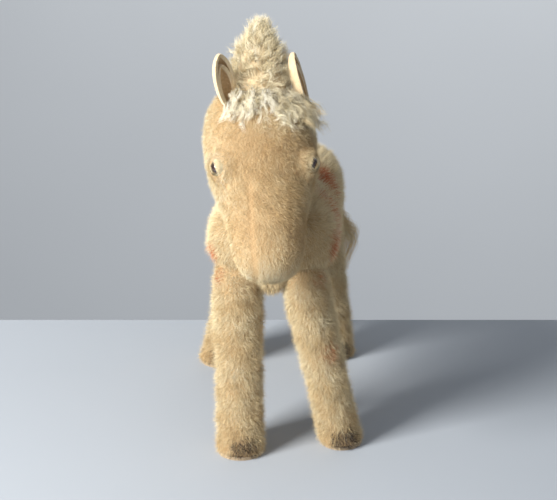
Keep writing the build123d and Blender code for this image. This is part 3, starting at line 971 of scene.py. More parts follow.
@dataclass
class Neck:
    """The wired neck between the withers and the head."""

    base: float = 20.0 * MM
    top: float = 13.5 * MM
    inset: float = 2.4 * MM
    style: PileStyle = PileStyle(per_mm2=4.0, length=4.6 * MM, lean=45)
    stuffing: Stuffing = Stuffing(cap=0.8 * MM)
    skin: bpy.types.Object = field(init=False)

    def build(self) -> None:
        """Models the neck about the axis that the head turns on."""
        low, self.axis = joint_place("neck_nod"), joint_axis("head_turn")
        self.origin = low
        length = float(np.linalg.norm(joint_place("head_turn") - low))
        base, top = self.base - self.inset, self.top - self.inset
        rings = [
            Ring(-0.30 * length, base * 0.45, base * 0.45),
            Ring(-0.22 * length, base * 0.85, base * 0.85),
            Ring(0.0, base * 1.02, base * 1.02),
            Ring(0.35 * length, base * 0.95, base * 0.97),
            Ring(0.7 * length, (base + top) / 2, (base + top) / 2),
            Ring(1.0 * length, top, top),
            Ring(1.12 * length, top * 0.8, top * 0.8),
            Ring(1.18 * length, top * 0.4, top * 0.4),
        ]
        self.skin = ring_form("neck_skin", rings)
        placed(self.skin, frame_matrix(low, np.array([1.0, 0, 0]), self.axis))
        self.stuffing.fill(self.skin, self.seams)
        shade_smooth(self.skin)

    def seams(self, points: Points) -> Points:
        """How far each point is from the seam along throat and crest."""
        return np.abs(points[:, 0] - self.origin[0] - (points[:, 2] - self.origin[2]) * self.axis[0])

    def flow(self, points: Points) -> Points:
        """The pile lies down the neck and back."""
        return np.tile([0.0, 0.5, -0.85], (len(points), 1))

    def shade(self, points: Points) -> Points:
        """An even cream."""
        return 0.5 + 0.07 * Wobble(4, 20 * MM).at(points)

    def grow(self, hidden_by: Sequence[bpy.types.Object], wardrobe: Wardrobe) -> None:
        """Grows the pile and dresses the skin."""
        pile = Pile(self.skin, self.style, self.flow, self.shade, seed=31)
        finish_pile(pile.strands(hidden_by), "neck_pile", 1, "neck", wardrobe)
        dress(self.skin, wardrobe.backing, "neck")
        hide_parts("neck_panel_left", "neck_panel_right", "neck_stuffing")


@dataclass
class Head:
    """The head: a long face between two cheeks, with slit eyes and a nostril."""

    drop: float = 52.0
    turn: float = 12.0
    length: float = 95.0 * MM
    half_width: float = 25.5 * MM
    half_depth: float = 22.5 * MM
    inset: float = 2.3 * MM
    poll: Place = (-4.3 * MM, 6.5 * MM, 24.8 * MM)
    gusset: float = 10.0 * MM
    jaw: float = -4.0 * MM
    brow: float = 2.4 * MM
    brow_rise: tuple[float, float] = (1.5 * MM, 3.4 * MM)
    brow_fall: tuple[float, float] = (4.2 * MM, 9.5 * MM)
    slit_tilt: float = 0.30
    slit_half: float = 0.8 * MM
    slit_reach: float = 3.6 * MM
    slit_bare: float = 0.9 * MM
    gaze_right: float = 50.0
    gaze_left: float = 22.0
    lid_strands: int = 420
    lid_root: float = 88.0
    lid_lift: tuple[float, float] = (0.15, 0.7)
    lid_width: float = 0.22 * MM
    lid_tone: float = 0.62
    whorl_start: tuple[float, float] = (48.0 * MM, 56.0 * MM)
    whorl_end: tuple[float, float] = (66.0 * MM, 74.0 * MM)
    nostril: Place = (75.5 * MM, 8.5 * MM, 12.0 * MM)
    nostril_size: float = 1.8 * MM
    ear_dye: Place = (20.0 * MM, -11.5 * MM, 18.0 * MM)
    ear_dye_size: float = 4.5 * MM
    style: PileStyle = PileStyle(
        per_mm2=10.5, length=2.6 * MM, width=0.125 * MM, lean=46, scatter=0.28, clump=0.9 * MM,
        gather=0.3, drift=0.2, patch=0.08,
    )
    stuffing: Stuffing = Stuffing(voxel=1.5 * MM, cap=1.0 * MM)
    shape: tuple[tuple[float, float, float], ...] = (
        (0.0, 0.24, 0.22),
        (0.03, 0.58, 0.56),
        (0.09, 0.88, 0.84),
        (0.20, 1.04, 0.99),
        (0.34, 1.06, 1.0),
        (0.48, 1.0, 0.97),
        (0.58, 0.88, 0.87),
        (0.68, 0.74, 0.76),
        (0.80, 0.68, 0.69),
        (0.91, 0.62, 0.60),
        (0.975, 0.44, 0.42),
        (1.0, 0.18, 0.18),
    )
    skin: bpy.types.Object = field(init=False)

    def build(self) -> None:
        """Models the head along its face and swells it between its seams."""
        drop, turn = radians(self.drop), radians(self.turn)
        self.along = np.array([cos(drop) * sin(turn), -cos(drop) * cos(turn), -sin(drop)])
        self.across = np.array([cos(turn), sin(turn), 0.0])
        self.out = np.cross(self.along, self.across)
        self.origin = joint_place("head_turn") + np.array(self.poll)
        long = self.length - 2 * self.inset
        wide, deep = self.half_width - self.inset, self.half_depth - self.inset
        rings = [Ring(self.inset + s * long, w * wide, d * deep) for s, w, d in self.shape]
        self.skin = ring_form("head_skin", rings, sides=24)
        placed(self.skin, frame_matrix(self.origin, self.across, self.along))
        self.stuffing.fill(self.skin, self.seams)
        self.raise_brows()
        shade_smooth(self.skin)

    def local(self, points: Points) -> tuple[Points, Points, Points]:
        """Each point's station along the face, place across it, and place out of the face."""
        away = points - self.origin
        return away @ self.along, away @ self.across, away @ self.out

    def spot(self, station: float, across: float, out: float) -> Points:
        """A point from its station, place across and place out of the face."""
        return self.origin + self.along * station + self.across * across + self.out * out

    def seams(self, points: Points) -> Points:
        """How far each point is from the seams beside the face gusset."""
        station, across, out = self.local(points)
        face = np.abs(np.abs(across) - self.gusset * (1 - 0.3 * station / self.length))
        return np.where(out > self.jaw, face, np.abs(across))

    def eyes(self) -> list[Points]:
        """The middles of the two eyes."""
        found = []
        for word in ("left", "right"):
            low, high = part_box(f"eye_{word}")
            found.append((np.array(low, float) + np.array(high, float)) / 2)
        return found

    def raise_brows(self) -> None:
        """Lifts the skin in a low ring round each eye, so that the glass lies deep in the pile."""
        points, normals = points_of(self.skin), vertex_normals(self.skin)
        for eye in self.eyes():
            size = np.linalg.norm(points - eye, axis=1)
            ring = band(size, self.brow_rise, self.brow_fall)
            points = points + normals * (ring * self.brow)[:, None]
        set_points(self.skin, points)

    def gaze(self, eye: Points) -> tuple[Points, Points]:
        """The way that an eye's slit faces, and the way that the slit runs.

        Args:
            eye: the middle of the eye.

        Returns:
            Both as unit vectors.
        """
        side = np.sign((eye - self.origin) @ self.across)
        aside = self.gaze_left if side > 0 else self.gaze_right
        out = unit(self.across * side * sin(radians(aside)) + self.out * cos(radians(aside)))
        slit = unit(self.along - self.across * side * self.slit_tilt)
        return out, unit(slit - out * (slit @ out))

    def beside_slit(self, points: Points, eye: Points) -> tuple[Points, Points]:
        """How far each point lies along an eye's slit, and its way across the slit.

        Args:
            points: places on the skin.
            eye: the middle of the eye.

        Returns:
            The distance along the slit, and the vector across it.
        """
        out, slit = self.gaze(eye)
        away = points - eye
        along = away @ slit
        return along, away - np.outer(along, slit) - np.outer(away @ out, out)

    def slit_at(self, along: Points) -> Points:
        """Half the width of an eye's slit at each place along it."""
        return self.slit_half * np.sqrt(np.clip(1 - (along / self.slit_reach) ** 2, 0, 1))

    def lids(self) -> Strands:
        """Grows the short pile that closes over each eye from both sides and leaves a slit."""
        rng = np.random.default_rng(45)
        low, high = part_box("eye_left")
        count, shares = self.lid_strands, np.linspace(0, 1, 5)
        grown = []
        for eye in self.eyes():
            out, slit = self.gaze(eye)
            aside = np.cross(slit, out)
            ball = (high[0] - low[0]) / 2 + rng.uniform(*self.lid_lift, count) * MM
            at = rng.uniform(-0.97, 0.97, count) * ball
            girth = np.sqrt(ball**2 - at**2)
            half = self.slit_at(at)
            tip = np.arcsin(np.clip(half * rng.uniform(0.8, 1.5, count) / girth, 0, 1))
            foot = radians(self.lid_root)
            angle = foot + np.outer(tip - foot, shares)
            way = np.where(np.arange(count) % 2, 1.0, -1.0)[:, None] * np.sin(angle)
            ring = way[:, :, None] * aside + np.cos(angle)[:, :, None] * out
            drift = rng.normal(0, 0.25 * MM, count)[:, None] * shares
            run = at[:, None] + drift
            path = eye + run[:, :, None] * slit + girth[:, None, None] * ring
            tone = self.lid_tone + 0.07 * rng.normal(size=count)
            blade = np.tile(slit, (count, 1))
            grown.append(Strands(path, blade, np.full(count, self.lid_width), Dye.MOHAIR.across(tone)))
        parts = ("path", "blade", "width", "u")
        return Strands(*(np.concatenate([getattr(lid, part) for lid in grown]) for part in parts))

    def flow(self, points: Points) -> Points:
        """The pile lies from the poll to the muzzle, and over each eye from both sides."""
        station, across, _ = self.local(points)
        lie = np.tile(self.along, (len(points), 1))
        lie = lie + self.across * (0.35 * across / self.half_width)[:, None]
        whorl = band(station, self.whorl_start, self.whorl_end)
        lie = lie + self.across * (0.8 * whorl)[:, None]
        for eye in self.eyes():
            along, beside = self.beside_slit(points, eye)
            size = np.hypot(along, np.linalg.norm(beside, axis=1))
            lie = lie - unit(beside) * (2.6 * (1 - smooth_step(size, 4 * MM, 8 * MM)))[:, None]
        return lie

    def shade(self, points: Points) -> Points:
        """Tan down the middle of the face, cream at the cheeks, pale at the chin and by the eyes; painted
        shade darkens the half away from the key lamp and the seam grooves, and painted light pales the side
        towards it.
        """
        station, across, out = self.local(points)
        middle = np.exp(-((across / (12 * MM)) ** 2)) * smooth_step(out, 4 * MM, 12 * MM)
        below = smooth_step(station, 26 * MM, 36 * MM)
        tone = 0.62 - 0.24 * middle * below * (1 - smooth_step(station, 60 * MM, 78 * MM))
        tone -= 0.10 * band(station, (62 * MM, 68 * MM), (72 * MM, 82 * MM))
        tone += 0.12 * smooth_step(station, 82 * MM, 92 * MM)
        # painted shade: the half of the face away from the key lamp is darkened
        tone -= 0.15 * smooth_step(across, 1 * MM, 13 * MM) * smooth_step(station, 24 * MM, 40 * MM)
        # painted light: the outer side of the face towards the key lamp is paled
        tone += 0.10 * smooth_step(-across, 12 * MM, 20 * MM)
        # painted shade: the pile is darkened along the seam grooves, more along the seam on the face's right
        seam = 1 - smooth_step(self.seams(points), 0.4 * MM, 2.2 * MM)
        tone -= np.where(across < 0, 0.20, 0.06) * seam * smooth_step(station, 48 * MM, 56 * MM)
        for eye in self.eyes():
            tone += 0.2 * near(points, eye, 9 * MM)
        return tone + 0.06 * Wobble(5, 16 * MM).at(points)

    def reach(self, points: Points) -> Points:
        """Shorter pile on the muzzle and along the seams, and none over the eyes."""
        station, across, _ = self.local(points)
        long = 1.0 - 0.25 * smooth_step(station, 50 * MM, 88 * MM)
        seam = 1 - smooth_step(self.seams(points), 0.3 * MM, 1.8 * MM)
        deep = np.where(across < 0, 0.6, 0.2)
        long = long * (1 - deep * seam * smooth_step(station, 46 * MM, 56 * MM))
        for eye in self.eyes():
            along, beside = self.beside_slit(points, eye)
            wide = np.linalg.norm(beside, axis=1)
            close = np.abs(points - eye).max(axis=1) < 8 * MM
            bare = close & (wide < self.slit_at(along) + self.slit_bare)
            long = np.where(bare, 0.0, long * (1 + 0.5 * near(points, eye, 7 * MM)))
        return np.maximum(long, 0.0)

    def dark(self, points: Points) -> Points:
        """A worn nostril."""
        return 0.7 * near(points, self.spot(*self.nostril), self.nostril_size)

    def orange(self, points: Points) -> Points:
        """What is left of the first dye, at the foot of the right ear."""
        return 0.85 * near(points, self.spot(*self.ear_dye), self.ear_dye_size)

    def grow(self, hidden_by: Sequence[bpy.types.Object], wardrobe: Wardrobe) -> None:
        """Grows the pile and the lids over the eyes, and dresses the skin."""
        pile = Pile(
            self.skin, self.style, self.flow, self.shade, reach=self.reach, orange=self.orange,
            dark=self.dark, seed=41,
        )
        finish_pile(pile.strands(hidden_by), "head_pile", 2, "head", wardrobe)
        finish_pile(self.lids(), "eye_lids", 1, "head", wardrobe)
        dress(self.skin, wardrobe.backing, "head")
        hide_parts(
            "face_gusset",
            "cheek_panel_left",
            "cheek_panel_right",
            "jaw_panel_left",
            "jaw_panel_right",
            "head_stuffing",
        )


@dataclass
class Leg:
    """One leg, from its round top to its sole."""

    name: str
    round_top: float
    wide_top: float = 12.8 * MM
    wide_foot: float = 12.2 * MM
    deep_foot: float = 11.5 * MM
    inset: float = 2.2 * MM
    welt: float = 0.6 * MM
    lowest: float = 0.15 * MM
    toe: Place = (3.0 * MM, -10.0 * MM, 4.0 * MM)
    toe_size: float = 8.5 * MM
    fold_dye: Place = (10.0 * MM, -8.0 * MM, 7.0 * MM)
    shin_dye: Place = (13.0 * MM, -9.0 * MM, -30.0 * MM)
    dye_size: float = 7.0 * MM
    style: PileStyle = PileStyle(
        per_mm2=8.4, length=3.9 * MM, width=0.15 * MM, lean=46, scatter=0.42, clump=1.5 * MM,
        gather=0.55, curl=0.6, drift=0.5, patch=0.1,
    )
    stuffing: Stuffing = Stuffing(cap=1.0 * MM)
    skin: bpy.types.Object = field(init=False)

    @property
    def joint(self) -> str:
        """The name of the joint that the leg swings on."""
        end, side = self.name.split("_")
        return f"{'shoulder' if end == 'front' else 'hip'}_{side}"

    def build(self) -> None:
        """Models the leg from the floor up, leaning to its foot, and swells it."""
        self.top, self.foot = joint_place(self.joint), sole_centre(self.name)
        height = self.top[2]
        lean = (self.top - self.foot) / height
        rings = [
            self.ring(self.welt, self.wide_foot * 0.90, self.deep_foot * 0.90, lean),
            self.ring(3 * self.welt, self.wide_foot * 0.93, self.deep_foot * 0.93, lean),
        ]
        shares = ((0.07, 0.97), (0.14, 1.0), (0.32, 0.97), (0.55, 0.96), (0.78, 1.0), (1.0, 1.02))
        for share, fill in shares:
            wide = self.wide_foot + (self.wide_top - self.wide_foot) * share
            deep = self.deep_foot + (self.round_top - 1 * MM - self.deep_foot) * share
            wide, deep = wide * fill - self.inset, deep * fill - self.inset
            rings.append(self.ring(height * share, wide, deep, lean))
        radius = self.round_top - self.inset
        for turn in (30, 52, 70, 84):
            up = height + radius * sin(radians(turn))
            deep = radius * cos(radians(turn))
            wide = (self.wide_top - self.inset) * cos(radians(turn)) ** 0.55
            rings.append(self.ring(up, wide, deep, lean, self.top))
        self.skin = ring_form(f"{self.name}_skin", rings)
        self.stuffing.fill(self.skin, self.seams)
        shade_smooth(self.skin)

    def ring(
        self, up: float, wide: float, deep: float, lean: Points, fixed: Points | None = None
    ) -> Ring:
        """A ring at a height, on the leg's leaning middle line or over a fixed point."""
        middle = fixed if fixed is not None else self.foot + lean * up
        return Ring(up, wide, deep, float(middle[0]), float(middle[1]))

    def middle_at(self, points: Points) -> Points:
        """The leg's middle line at each point's height."""
        share = np.clip(points[:, 2:3] / self.top[2], 0, 1)
        return self.foot + (self.top - self.foot) * share

    def seams(self, points: Points) -> Points:
        """How far each point is from the seams at front and back."""
        return np.abs((points - self.middle_at(points))[:, 0])

    def flow(self, points: Points) -> Points:
        """The pile lies down the leg."""
        out = points - self.middle_at(points)
        out[:, 2] = 0
        return np.array([0, 0, -1.0]) + unit(out) * 0.15

    def shade(self, points: Points) -> Points:
        """Cream, darker down to the foot."""
        low = 1 - smooth_step(points[:, 2], 4 * MM, 30 * MM)
        return 0.58 - 0.10 * low + 0.08 * Wobble(6, 14 * MM).at(points)

    def reach(self, points: Points) -> Points:
        """Short by the sole and at the round top, and none under the foot."""
        low = 0.75 + 0.25 * smooth_step(points[:, 2], 2 * MM, 8 * MM)
        low = low * (1 - 0.25 * smooth_step(points[:, 2], self.top[2] - 8 * MM, self.top[2] + 8 * MM))
        return np.where(points[:, 2] > self.welt * 1.05, low, 0.0)

    def dark(self, points: Points) -> Points:
        """The worn dark patch on the toe."""
        return near(points, self.foot + np.array(self.toe), self.toe_size) ** 0.3

    def orange(self, points: Points) -> Points:
        """What is left of the first dye, at the fold under the barrel."""
        out = 1.0 if self.name.endswith("left") else -1.0
        fold = self.top + np.array(self.fold_dye) * (out, 1.0, 1.0)
        share = 0.6 * near(points, fold, self.dye_size) ** 0.7
        if self.name == "front_left":
            shin = self.top + np.array(self.shin_dye)
            share = np.maximum(share, 0.5 * near(points, shin, self.dye_size))
        return share

    def grow(self, hidden_by: Sequence[bpy.types.Object], wardrobe: Wardrobe) -> None:
        """Grows the pile and dresses the skin."""
        body = f"leg_{self.name}"
        seed = 50 + sum(map(ord, self.name)) % 40
        pile = Pile(
            self.skin, self.style, self.flow, self.shade, reach=self.reach, orange=self.orange,
            dark=self.dark, seed=seed,
        )
        strands = pile.strands(hidden_by)
        strands.path[:, :, 2] = np.maximum(strands.path[:, :, 2], self.lowest)
        finish_pile(strands, f"{self.name}_pile", 1, body, wardrobe)
        dress(self.skin, wardrobe.backing, body)
        panels = [f"{self.name}_{part}" for part in ("outer_panel", "inner_panel", "stuffing")]
        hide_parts(*panels)


@dataclass
class Ear:
    """A felt ear: a cupped outer leaf with a narrower one nested in it."""

    side: str
    back: float = 0.0
    outward: float = 0.0
    twist: float = 0.0
    length: float = 23.5 * MM
    half_width: float = 5.6 * MM
    flatness: float = 0.9
    cut: float = 0.6 * MM
    thickness: float = 1.6 * MM
    edge_round: float = 0.5 * MM
    curl_back: float = 1.8 * MM
    seat_offset: Place = (1.4 * MM, -2.4 * MM, -2.4 * MM)
    profile: tuple[tuple[float, float], ...] = (
        (0.0, 0.55),
        (0.12, 0.76),
        (0.30, 0.96),
        (0.52, 1.0),
        (0.72, 0.88),
        (0.88, 0.60),
        (1.0, 0.16),
    )

    def leaf(self, name: str, share: float, tuck: float, wardrobe: Wardrobe) -> bpy.types.Object:
        """Models one leaf as a bud, cuts its front away and gives it a wall.

        Args:
            name: the leaf's name.
            share: its size beside the outer leaf's.
            tuck: how far it is set into the cup.
            wardrobe: the finishes, pale for the back and the rim and a darker tan for the hollow as painted
                shade.

        Returns:
            The leaf, with its place in its mesh.
        """
        wide, long = self.half_width * share, self.length * share
        rings = [
            Ring(s * long, wide * w, wide * w * self.flatness, 0, self.curl_back * s * s - tuck)
            for s, w in self.profile
        ]
        leaf = ring_form(name, rings, sides=20, levels=2)
        bpy.ops.object.mode_set(mode="EDIT")
        bpy.ops.mesh.select_all(action="SELECT")
        bpy.ops.mesh.bisect(
            plane_co=(0, -tuck - self.cut, 0), plane_no=(0, -1, 0.06), clear_outer=True, use_fill=False
        )
        bpy.ops.object.mode_set(mode="OBJECT")
        self.open_base(leaf)
        leaf.data.materials.append(wardrobe.ear_rim)
        # the inner wall gets the darker felt: painted shade in the ear's hollow
        leaf.data.materials.append(wardrobe.ear_felt)
        apply_modifier(leaf, "SOLIDIFY", thickness=self.thickness, offset=-1.0, material_offset=1)
        apply_modifier(leaf, "BEVEL", width=self.edge_round, segments=2, limit_method="ANGLE")
        placed(leaf, self.seat())
        shade_smooth(leaf)
        return leaf

    def open_base(self, leaf: bpy.types.Object) -> None:
        """Takes away the faces that close the leaf at its base."""
        made = bmesh.new()
        made.from_mesh(leaf.data)
        floor = [f for f in made.faces if f.normal.z < -0.9 and f.calc_center_median().z < 0.5 * MM]
        bmesh.ops.delete(made, geom=floor, context="FACES")
        made.to_mesh(leaf.data)
        made.free()

    def seat(self) -> Matrix:
        """The ear's frame on the head, leaning back and outwards."""
        base = Vector(joint_place(f"ear_{self.side}_flap")) + Vector(self.seat_offset)
        turn = Matrix.Translation(base)
        for angle, axis in ((self.back, "X"), (self.outward, "Y"), (self.twist, "Z")):
            turn = turn @ Matrix.Rotation(radians(angle), 4, axis)
        return turn

    def build(self, wardrobe: Wardrobe) -> None:
        """Models and dresses both leaves."""
        for part, share, tuck in (("outer", 1.0, 0.0), ("inner", 0.80, -0.3 * MM)):
            leaf = self.leaf(f"ear_{self.side}_{part}_leaf", share, tuck, wardrobe)
            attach(leaf, f"ear_{self.side}")
            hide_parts(f"ear_{self.side}_{part}")


@dataclass
class Forelock:
    """The bushy forelock on the poll and its fringe over the forehead."""

    tuft: Locks = Locks(
        count=760, strands=18, length=7.5 * MM, spread=1.1 * MM, wave=1.0 * MM, turns=1.2,
        width=0.15 * MM, stations=7, seed=61,
    )
    fringe: Locks = Locks(
        count=120, strands=30, length=14 * MM, spread=1.0 * MM, wave=1.6 * MM, turns=1.8,
        width=0.16 * MM, stations=8, seed=62,
    )
    height: float = 36.0 * MM
    tip_shift: tuple[float, float] = (-1.0 * MM, 15.0 * MM)
    pile_depth: float = 4.2 * MM
    core_depth: float = 5.0 * MM
    top_room: float = 3.0 * MM
    outline: tuple[tuple[float, float], ...] = (
        (-14.0, 17.5),
        (-4.0, 19.0),
        (6.0, 18.0),
        (14.0, 16.0),
        (21.0, 13.6),
        (26.0, 11.0),
        (30.0, 8.2),
        (33.0, 6.0),
        (34.5, 4.5),
    )

    def axis_at(self, up: Points) -> Points:
        """The middle of the forelock at each height above its root."""
        return self.root + np.outer(up, self.lean)

    def core(self) -> bpy.types.Object:
        """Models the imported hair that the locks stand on."""
        rings = []
        for up, radius in self.outline:
            middle = self.axis_at(np.array([up * MM]))[0]
            wide = max(radius * MM - self.core_depth, 0.8 * MM)
            rings.append(Ring(float(middle[2]), wide, wide * 0.95, float(middle[0]), float(middle[1])))
        core = ring_form("forelock_core", rings)
        shade_smooth(core)
        return core

    def grow_tuft(self, high: Points) -> Strands:
        """Grows the tuft's locks out of the core, up and outwards.

        Args:
            high: the top corner of the room for the hair.

        Returns:
            The strands of the tuft.
        """
        rng = np.random.default_rng(63)
        heights, radii = np.array(self.outline).T * MM
        count = self.tuft.count
        up = (rng.uniform(0, 1, count) ** 0.85) * 43 * MM - 10 * MM
        angle = rng.uniform(0, 2 * pi, count)
        around = np.stack([np.cos(angle), np.sin(angle), np.zeros(count)], axis=1)
        radius = np.maximum(np.interp(up, heights, radii) - self.pile_depth - 0.8 * MM, 0.3 * MM)
        root = self.axis_at(np.minimum(up, heights[-1])) + around * radius[:, None]
        rise = np.clip(up / (30 * MM), 0, 1)
        way = self.lean * (0.35 + 0.75 * rise)[:, None] + around * (0.9 - 0.35 * rise)[:, None]
        way = way + rng.normal(0, 0.35, (count, 3))
        fall = rng.normal(0, 0.7, (count, 3)) - around * 0.5
        front = np.exp(-((angle - 1.5 * pi) ** 2) / 0.5)
        tone = 0.80 + 0.06 * rng.normal(size=count) - 0.10 * front * (1 - rise)
        tuft = self.tuft.grow(root, way, fall, tone)
        tuft.path[:, :, 2] = np.minimum(tuft.path[:, :, 2], high[2] + self.top_room)
        return tuft

    def grow_fringe(self, head: Head) -> Strands:
        """Grows the fringe over the forehead and down the left side of the poll."""
        rng = np.random.default_rng(64)
        count = self.fringe.count
        across = rng.uniform(-11, 21, count) * MM
        side = across / (20 * MM)
        station = (rng.uniform(10, 22, count) + 3 * np.maximum(side, 0)) * MM
        out = 16 * MM - across**2 / (42 * MM)
        root = head.origin + np.outer(station, head.along)
        root = root + np.outer(across, head.across) + np.outer(out, head.out)
        way = head.out * 0.9 + rng.normal(0, 0.3, (count, 3)) + np.outer(side, head.across) * 0.7
        fall = head.along * 2.0 - head.out * 1.2 + rng.normal(0, 0.45, (count, 3))
        fall = fall + np.outer(0.3 + side, head.across) * 0.5
        tone = 0.95 + 0.08 * rng.normal(size=count) - 0.28 * np.maximum(side, 0)
        return self.fringe.grow(root, way, fall, tone)

    def build(self, head: Head, wardrobe: Wardrobe) -> None:
        """Models the core and grows the tuft up to its point and the fringe down the forehead."""
        _, high = box_of("mane_topknot")
        self.root = head.spot(15 * MM, 0, 6 * MM)
        self.root[2] = high[2] - self.height
        tip = np.array([self.root[0] + self.tip_shift[0], self.root[1] + self.tip_shift[1], high[2]])
        self.lean = (tip - self.root) / (tip[2] - self.root[2])
        core = self.core()
        dress(core, wardrobe.hair_core, "head")
        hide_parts("mane_topknot")
        hair = {"forelock_tuft": self.grow_tuft(high), "forelock_fringe": self.grow_fringe(head)}
        for name, strands in hair.items():
            dress(strands.mesh(name), wardrobe.mohair, "head")


@dataclass
class Mane:
    """The mane along the back of the neck."""

    locks: Locks = Locks(count=70, strands=40, length=20 * MM, seed=71)
    crest: tuple[float, float] = (0.48, 0.98)
    half_width: float = 4.0 * MM
    drop: float = 1.7

    def build(self, neck: Neck, wardrobe: Wardrobe) -> None:
        """Grows locks that part along the crest and fall to both sides."""
        rng = np.random.default_rng(72)
        low = joint_place("neck_nod")
        count = self.locks.count
        along = rng.uniform(*self.crest, count)
        span = float(np.linalg.norm(joint_place("head_turn") - low))
        back = unit(np.cross(neck.axis, np.cross(np.array([0, 1.0, 0]), neck.axis)))
        radius = (neck.base - neck.inset) + (neck.top - neck.base) * along
        side = rng.uniform(-1, 1, count)
        root = low + neck.axis * (span * along)[:, None] + back * radius[:, None] * 0.96
        root = root + np.outer(side * self.half_width, (1.0, 0, 0))
        aside = np.outer(side, (1.0, 0, 0))
        way = back * 0.8 + aside * 0.7 + rng.normal(0, 0.15, (count, 3))
        fall = np.array([0, 0, -self.drop]) + aside * 0.5 + rng.normal(0, 0.25, (count, 3))
        strands = self.locks.grow(root, way, fall, 0.8 + 0.08 * rng.normal(size=count))
        piece = strands.mesh("neck_mane")
        dress(piece, wardrobe.mohair, "neck")
        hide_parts("mane_crest")


@dataclass
class Tail:
    """The tail: curling locks that hang from a bound root."""

    locks: Locks = Locks(
        count=16, strands=270, length=76 * MM, spread=2.6 * MM, wave=5.5 * MM, turns=2.3,
        stations=18, seed=81,
    )
    root_shift: Place = (0.0, 1.5 * MM, -1.0 * MM)
    root_size: Place = (3.0 * MM, 1.5 * MM, 0.0)
    end_size: Place = (13.0 * MM, 4.0 * MM, 0.0)
    sweep: float = 0.58
    bow: Place = (0.42, 0.35, 0.15)

    def build(self, wardrobe: Wardrobe) -> None:
        """Grows the locks from the root down to just above the floor."""
        rng = np.random.default_rng(82)
        root_at = joint_place("tail_lift")
        low, high = box_of("tail_hair")
        count = self.locks.count
        angle = rng.uniform(0, 2 * pi, count)
        round_root = np.stack([np.cos(angle), np.sin(angle), np.zeros(count)], axis=1)
        root = root_at + np.array(self.root_shift) + round_root * self.root_size
        middle = np.array([low[0] + (high[0] - low[0]) * self.sweep, high[1] - 7 * MM, low[2]])
        aim = middle + round_root * self.end_size
        bow = np.array(self.bow)
        way = unit(aim - root) + bow + rng.normal(0, 0.07, (count, 3))
        fall = unit(aim - root) * 0.25 - bow * 1.5 + rng.normal(0, 0.15, (count, 3))
        # the locks' tone, darker than the other hair, is partly tan hair and partly painted shade for a tail
        # that hangs behind the body
        strands = self.locks.grow(root, way, fall, 0.58 + 0.08 * rng.normal(size=count))
        piece = strands.mesh("tail_locks")
        dress(piece, wardrobe.mohair, "tail")
        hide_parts("tail_hair")


@dataclass
class Hardware:
    """The CAD pieces whose shape stays: eyes, wires, thread and soles."""

    def dress(self, wardrobe: Wardrobe) -> None:
        """Gives every CAD piece that is shown its finish."""
        kinds = {
            "eye_glass": wardrobe.glass,
            "wire": wardrobe.steel,
            "thread": wardrobe.pale_thread,
            "sole_felt": wardrobe.sole_felt,
            "stuffing": wardrobe.wood_wool,
        }
        for row in frame["record"]["subparts"]:
            node, kind = frame["nodes"][row["node"]], row["material_slot"]
            if kind in kinds and not node.hide_render:
                for slot in node.material_slots:
                    slot.material = kinds[kind]


# ------------------------------------------------------------------ studio
@dataclass(frozen=True)
class Lamp:
    """A square soft light: its place, size and power, and where it points."""

    name: str
    place: Place
    size: float
    power: float
    colour: Colour
    aim: Place | None = None


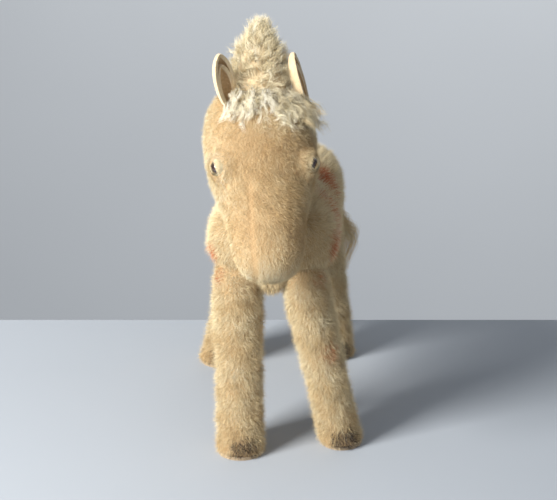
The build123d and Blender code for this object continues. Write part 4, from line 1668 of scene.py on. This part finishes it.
@dataclass
class Studio:
    """Camera, floor, backdrop and soft light."""

    azimuth: float = 5.0
    elevation: float = 22.0
    distance: float = 0.8
    lens: float = 108.7
    target: Place = (1.26 * MM, -10.16 * MM, 83.7 * MM)
    table_near: float = -2.5
    table_edge: float = 94 * MM
    wall_place: float = 1.9
    wall_rise: float = 0.2
    table_colour: Colour = (0.43, 0.465, 0.51)
    wall_colour: Colour = (0.74, 0.77, 0.80)
    sky_colour: Colour = (0.80, 0.84, 0.90)
    sky_power: float = 0.33
    lamps: tuple[Lamp, ...] = (
        Lamp("key", (-0.62, -0.55, 0.60), 0.34, 17.0, (1.0, 0.985, 0.955)),
        Lamp("fill", (0.8, -0.9, 0.6), 0.9, 0.5, (0.93, 0.96, 1.0)),
        Lamp("wall", (0.5, 0.8, 1.1), 1.2, 18.6, (0.98, 0.99, 1.0), (0.45, 1.9, 0.35)),
    )

    def camera(self) -> None:
        """Sets the camera."""
        a, e = radians(self.azimuth), radians(self.elevation)
        back = Vector((sin(a) * cos(e), -cos(a) * cos(e), sin(e)))
        data = bpy.data.cameras.new("camera")
        data.lens = self.lens
        data.sensor_width = 36.0
        cam = bpy.data.objects.new("camera", data)
        bpy.context.scene.collection.objects.link(cam)
        cam.location = Vector(self.target) + back * self.distance
        cam.rotation_mode = "QUATERNION"
        cam.rotation_quaternion = (-back).to_track_quat("-Z", "Y")
        bpy.context.scene.camera = cam

    def plane(
        self, name: str, rise: float, reach: tuple[float, float], upright: bool, colour: Colour
    ) -> None:
        """A stage plane square to the camera, with a plain, faintly uneven finish.

        Args:
            name: the plane's name.
            rise: the height of its middle.
            reach: how far its near and its far edge, or its face, lie from the origin.
            upright: stands instead of lying.
            colour: its colour.
        """
        clear_selection()
        bpy.ops.mesh.primitive_plane_add(size=1.0)
        obj = bpy.context.object
        obj.name = name
        obj.data.name = name
        near_edge, far_edge = reach
        deep = 5.0 if upright else far_edge - near_edge
        shape = Matrix.Diagonal((8.0, deep, 1.0, 1.0))
        stand = Matrix.Rotation(radians(90), 4, "X") if upright else Matrix.Identity(4)
        middle = Matrix.Translation((0, (near_edge + far_edge) / 2, rise))
        turn = Matrix.Rotation(radians(self.azimuth), 4, "Z")
        placed(obj, turn @ middle @ stand @ shape)
        made = Nodes(name, 0.75)
        tint = made.noise(3.0, 2.0)
        made.colour(made.ramp(tint, [(0.3, tuple(c * 0.97 for c in colour)), (0.7, colour)]))
        obj.data.materials.append(made.material)

    def hang(self, lamp: Lamp) -> None:
        """Hangs a lamp that faces the foal, or another place."""
        data = bpy.data.lights.new(lamp.name, "AREA")
        data.size = lamp.size
        data.energy = lamp.power
        data.color = lamp.colour
        light = bpy.data.objects.new(lamp.name, data)
        bpy.context.scene.collection.objects.link(light)
        light.location = lamp.place
        light.rotation_mode = "QUATERNION"
        way = Vector(lamp.aim or self.target) - Vector(lamp.place)
        light.rotation_quaternion = way.to_track_quat("-Z", "Y")

    def build(self) -> None:
        """Sets up the whole stage."""
        self.camera()
        self.plane("floor", 0.0, (self.table_near, self.table_edge), False, self.table_colour)
        wall = (self.wall_place, self.wall_place)
        self.plane("backdrop", self.wall_rise, wall, True, self.wall_colour)
        for lamp in self.lamps:
            self.hang(lamp)
        world = bpy.data.worlds.new("studio")
        world.use_nodes = True
        sky = world.node_tree.nodes["Background"]
        sky.inputs["Color"].default_value = (*self.sky_colour, 1.0)
        sky.inputs["Strength"].default_value = self.sky_power
        bpy.context.scene.world = world
        bpy.context.scene.view_settings.view_transform = "Standard"


def main() -> None:
    """Builds the foal around its frame."""
    logging.basicConfig(level=logging.INFO, format="%(name)s: %(message)s")
    wardrobe = Wardrobe()
    Studio().build()
    torso, neck, head = Torso(), Neck(), Head()
    legs = [
        Leg("front_right", 15 * MM, wide_top=12.8 * MM, wide_foot=12.2 * MM),
        Leg("front_left", 15 * MM, wide_top=12.2 * MM, wide_foot=11.2 * MM),
        Leg("rear_right", 17 * MM),
        Leg("rear_left", 17 * MM),
    ]
    for limb in (torso, neck, head, *legs):
        limb.build()
        log.info("%s: %d vertices", limb.skin.name, len(limb.skin.data.vertices))
    torso.grow([leg.skin for leg in legs] + [neck.skin], wardrobe)
    neck.grow([torso.skin, head.skin], wardrobe)
    head.grow([neck.skin], wardrobe)
    for leg in legs:
        leg.grow([torso.skin], wardrobe)
    Ear("right", back=2, outward=-9, twist=50).build(wardrobe)
    Ear("left", back=-6, outward=-13, twist=84).build(wardrobe)
    Forelock().build(head, wardrobe)
    Mane().build(neck, wardrobe)
    Tail().build(wardrobe)
    Hardware().dress(wardrobe)


if __name__ == "__main__":
    main()
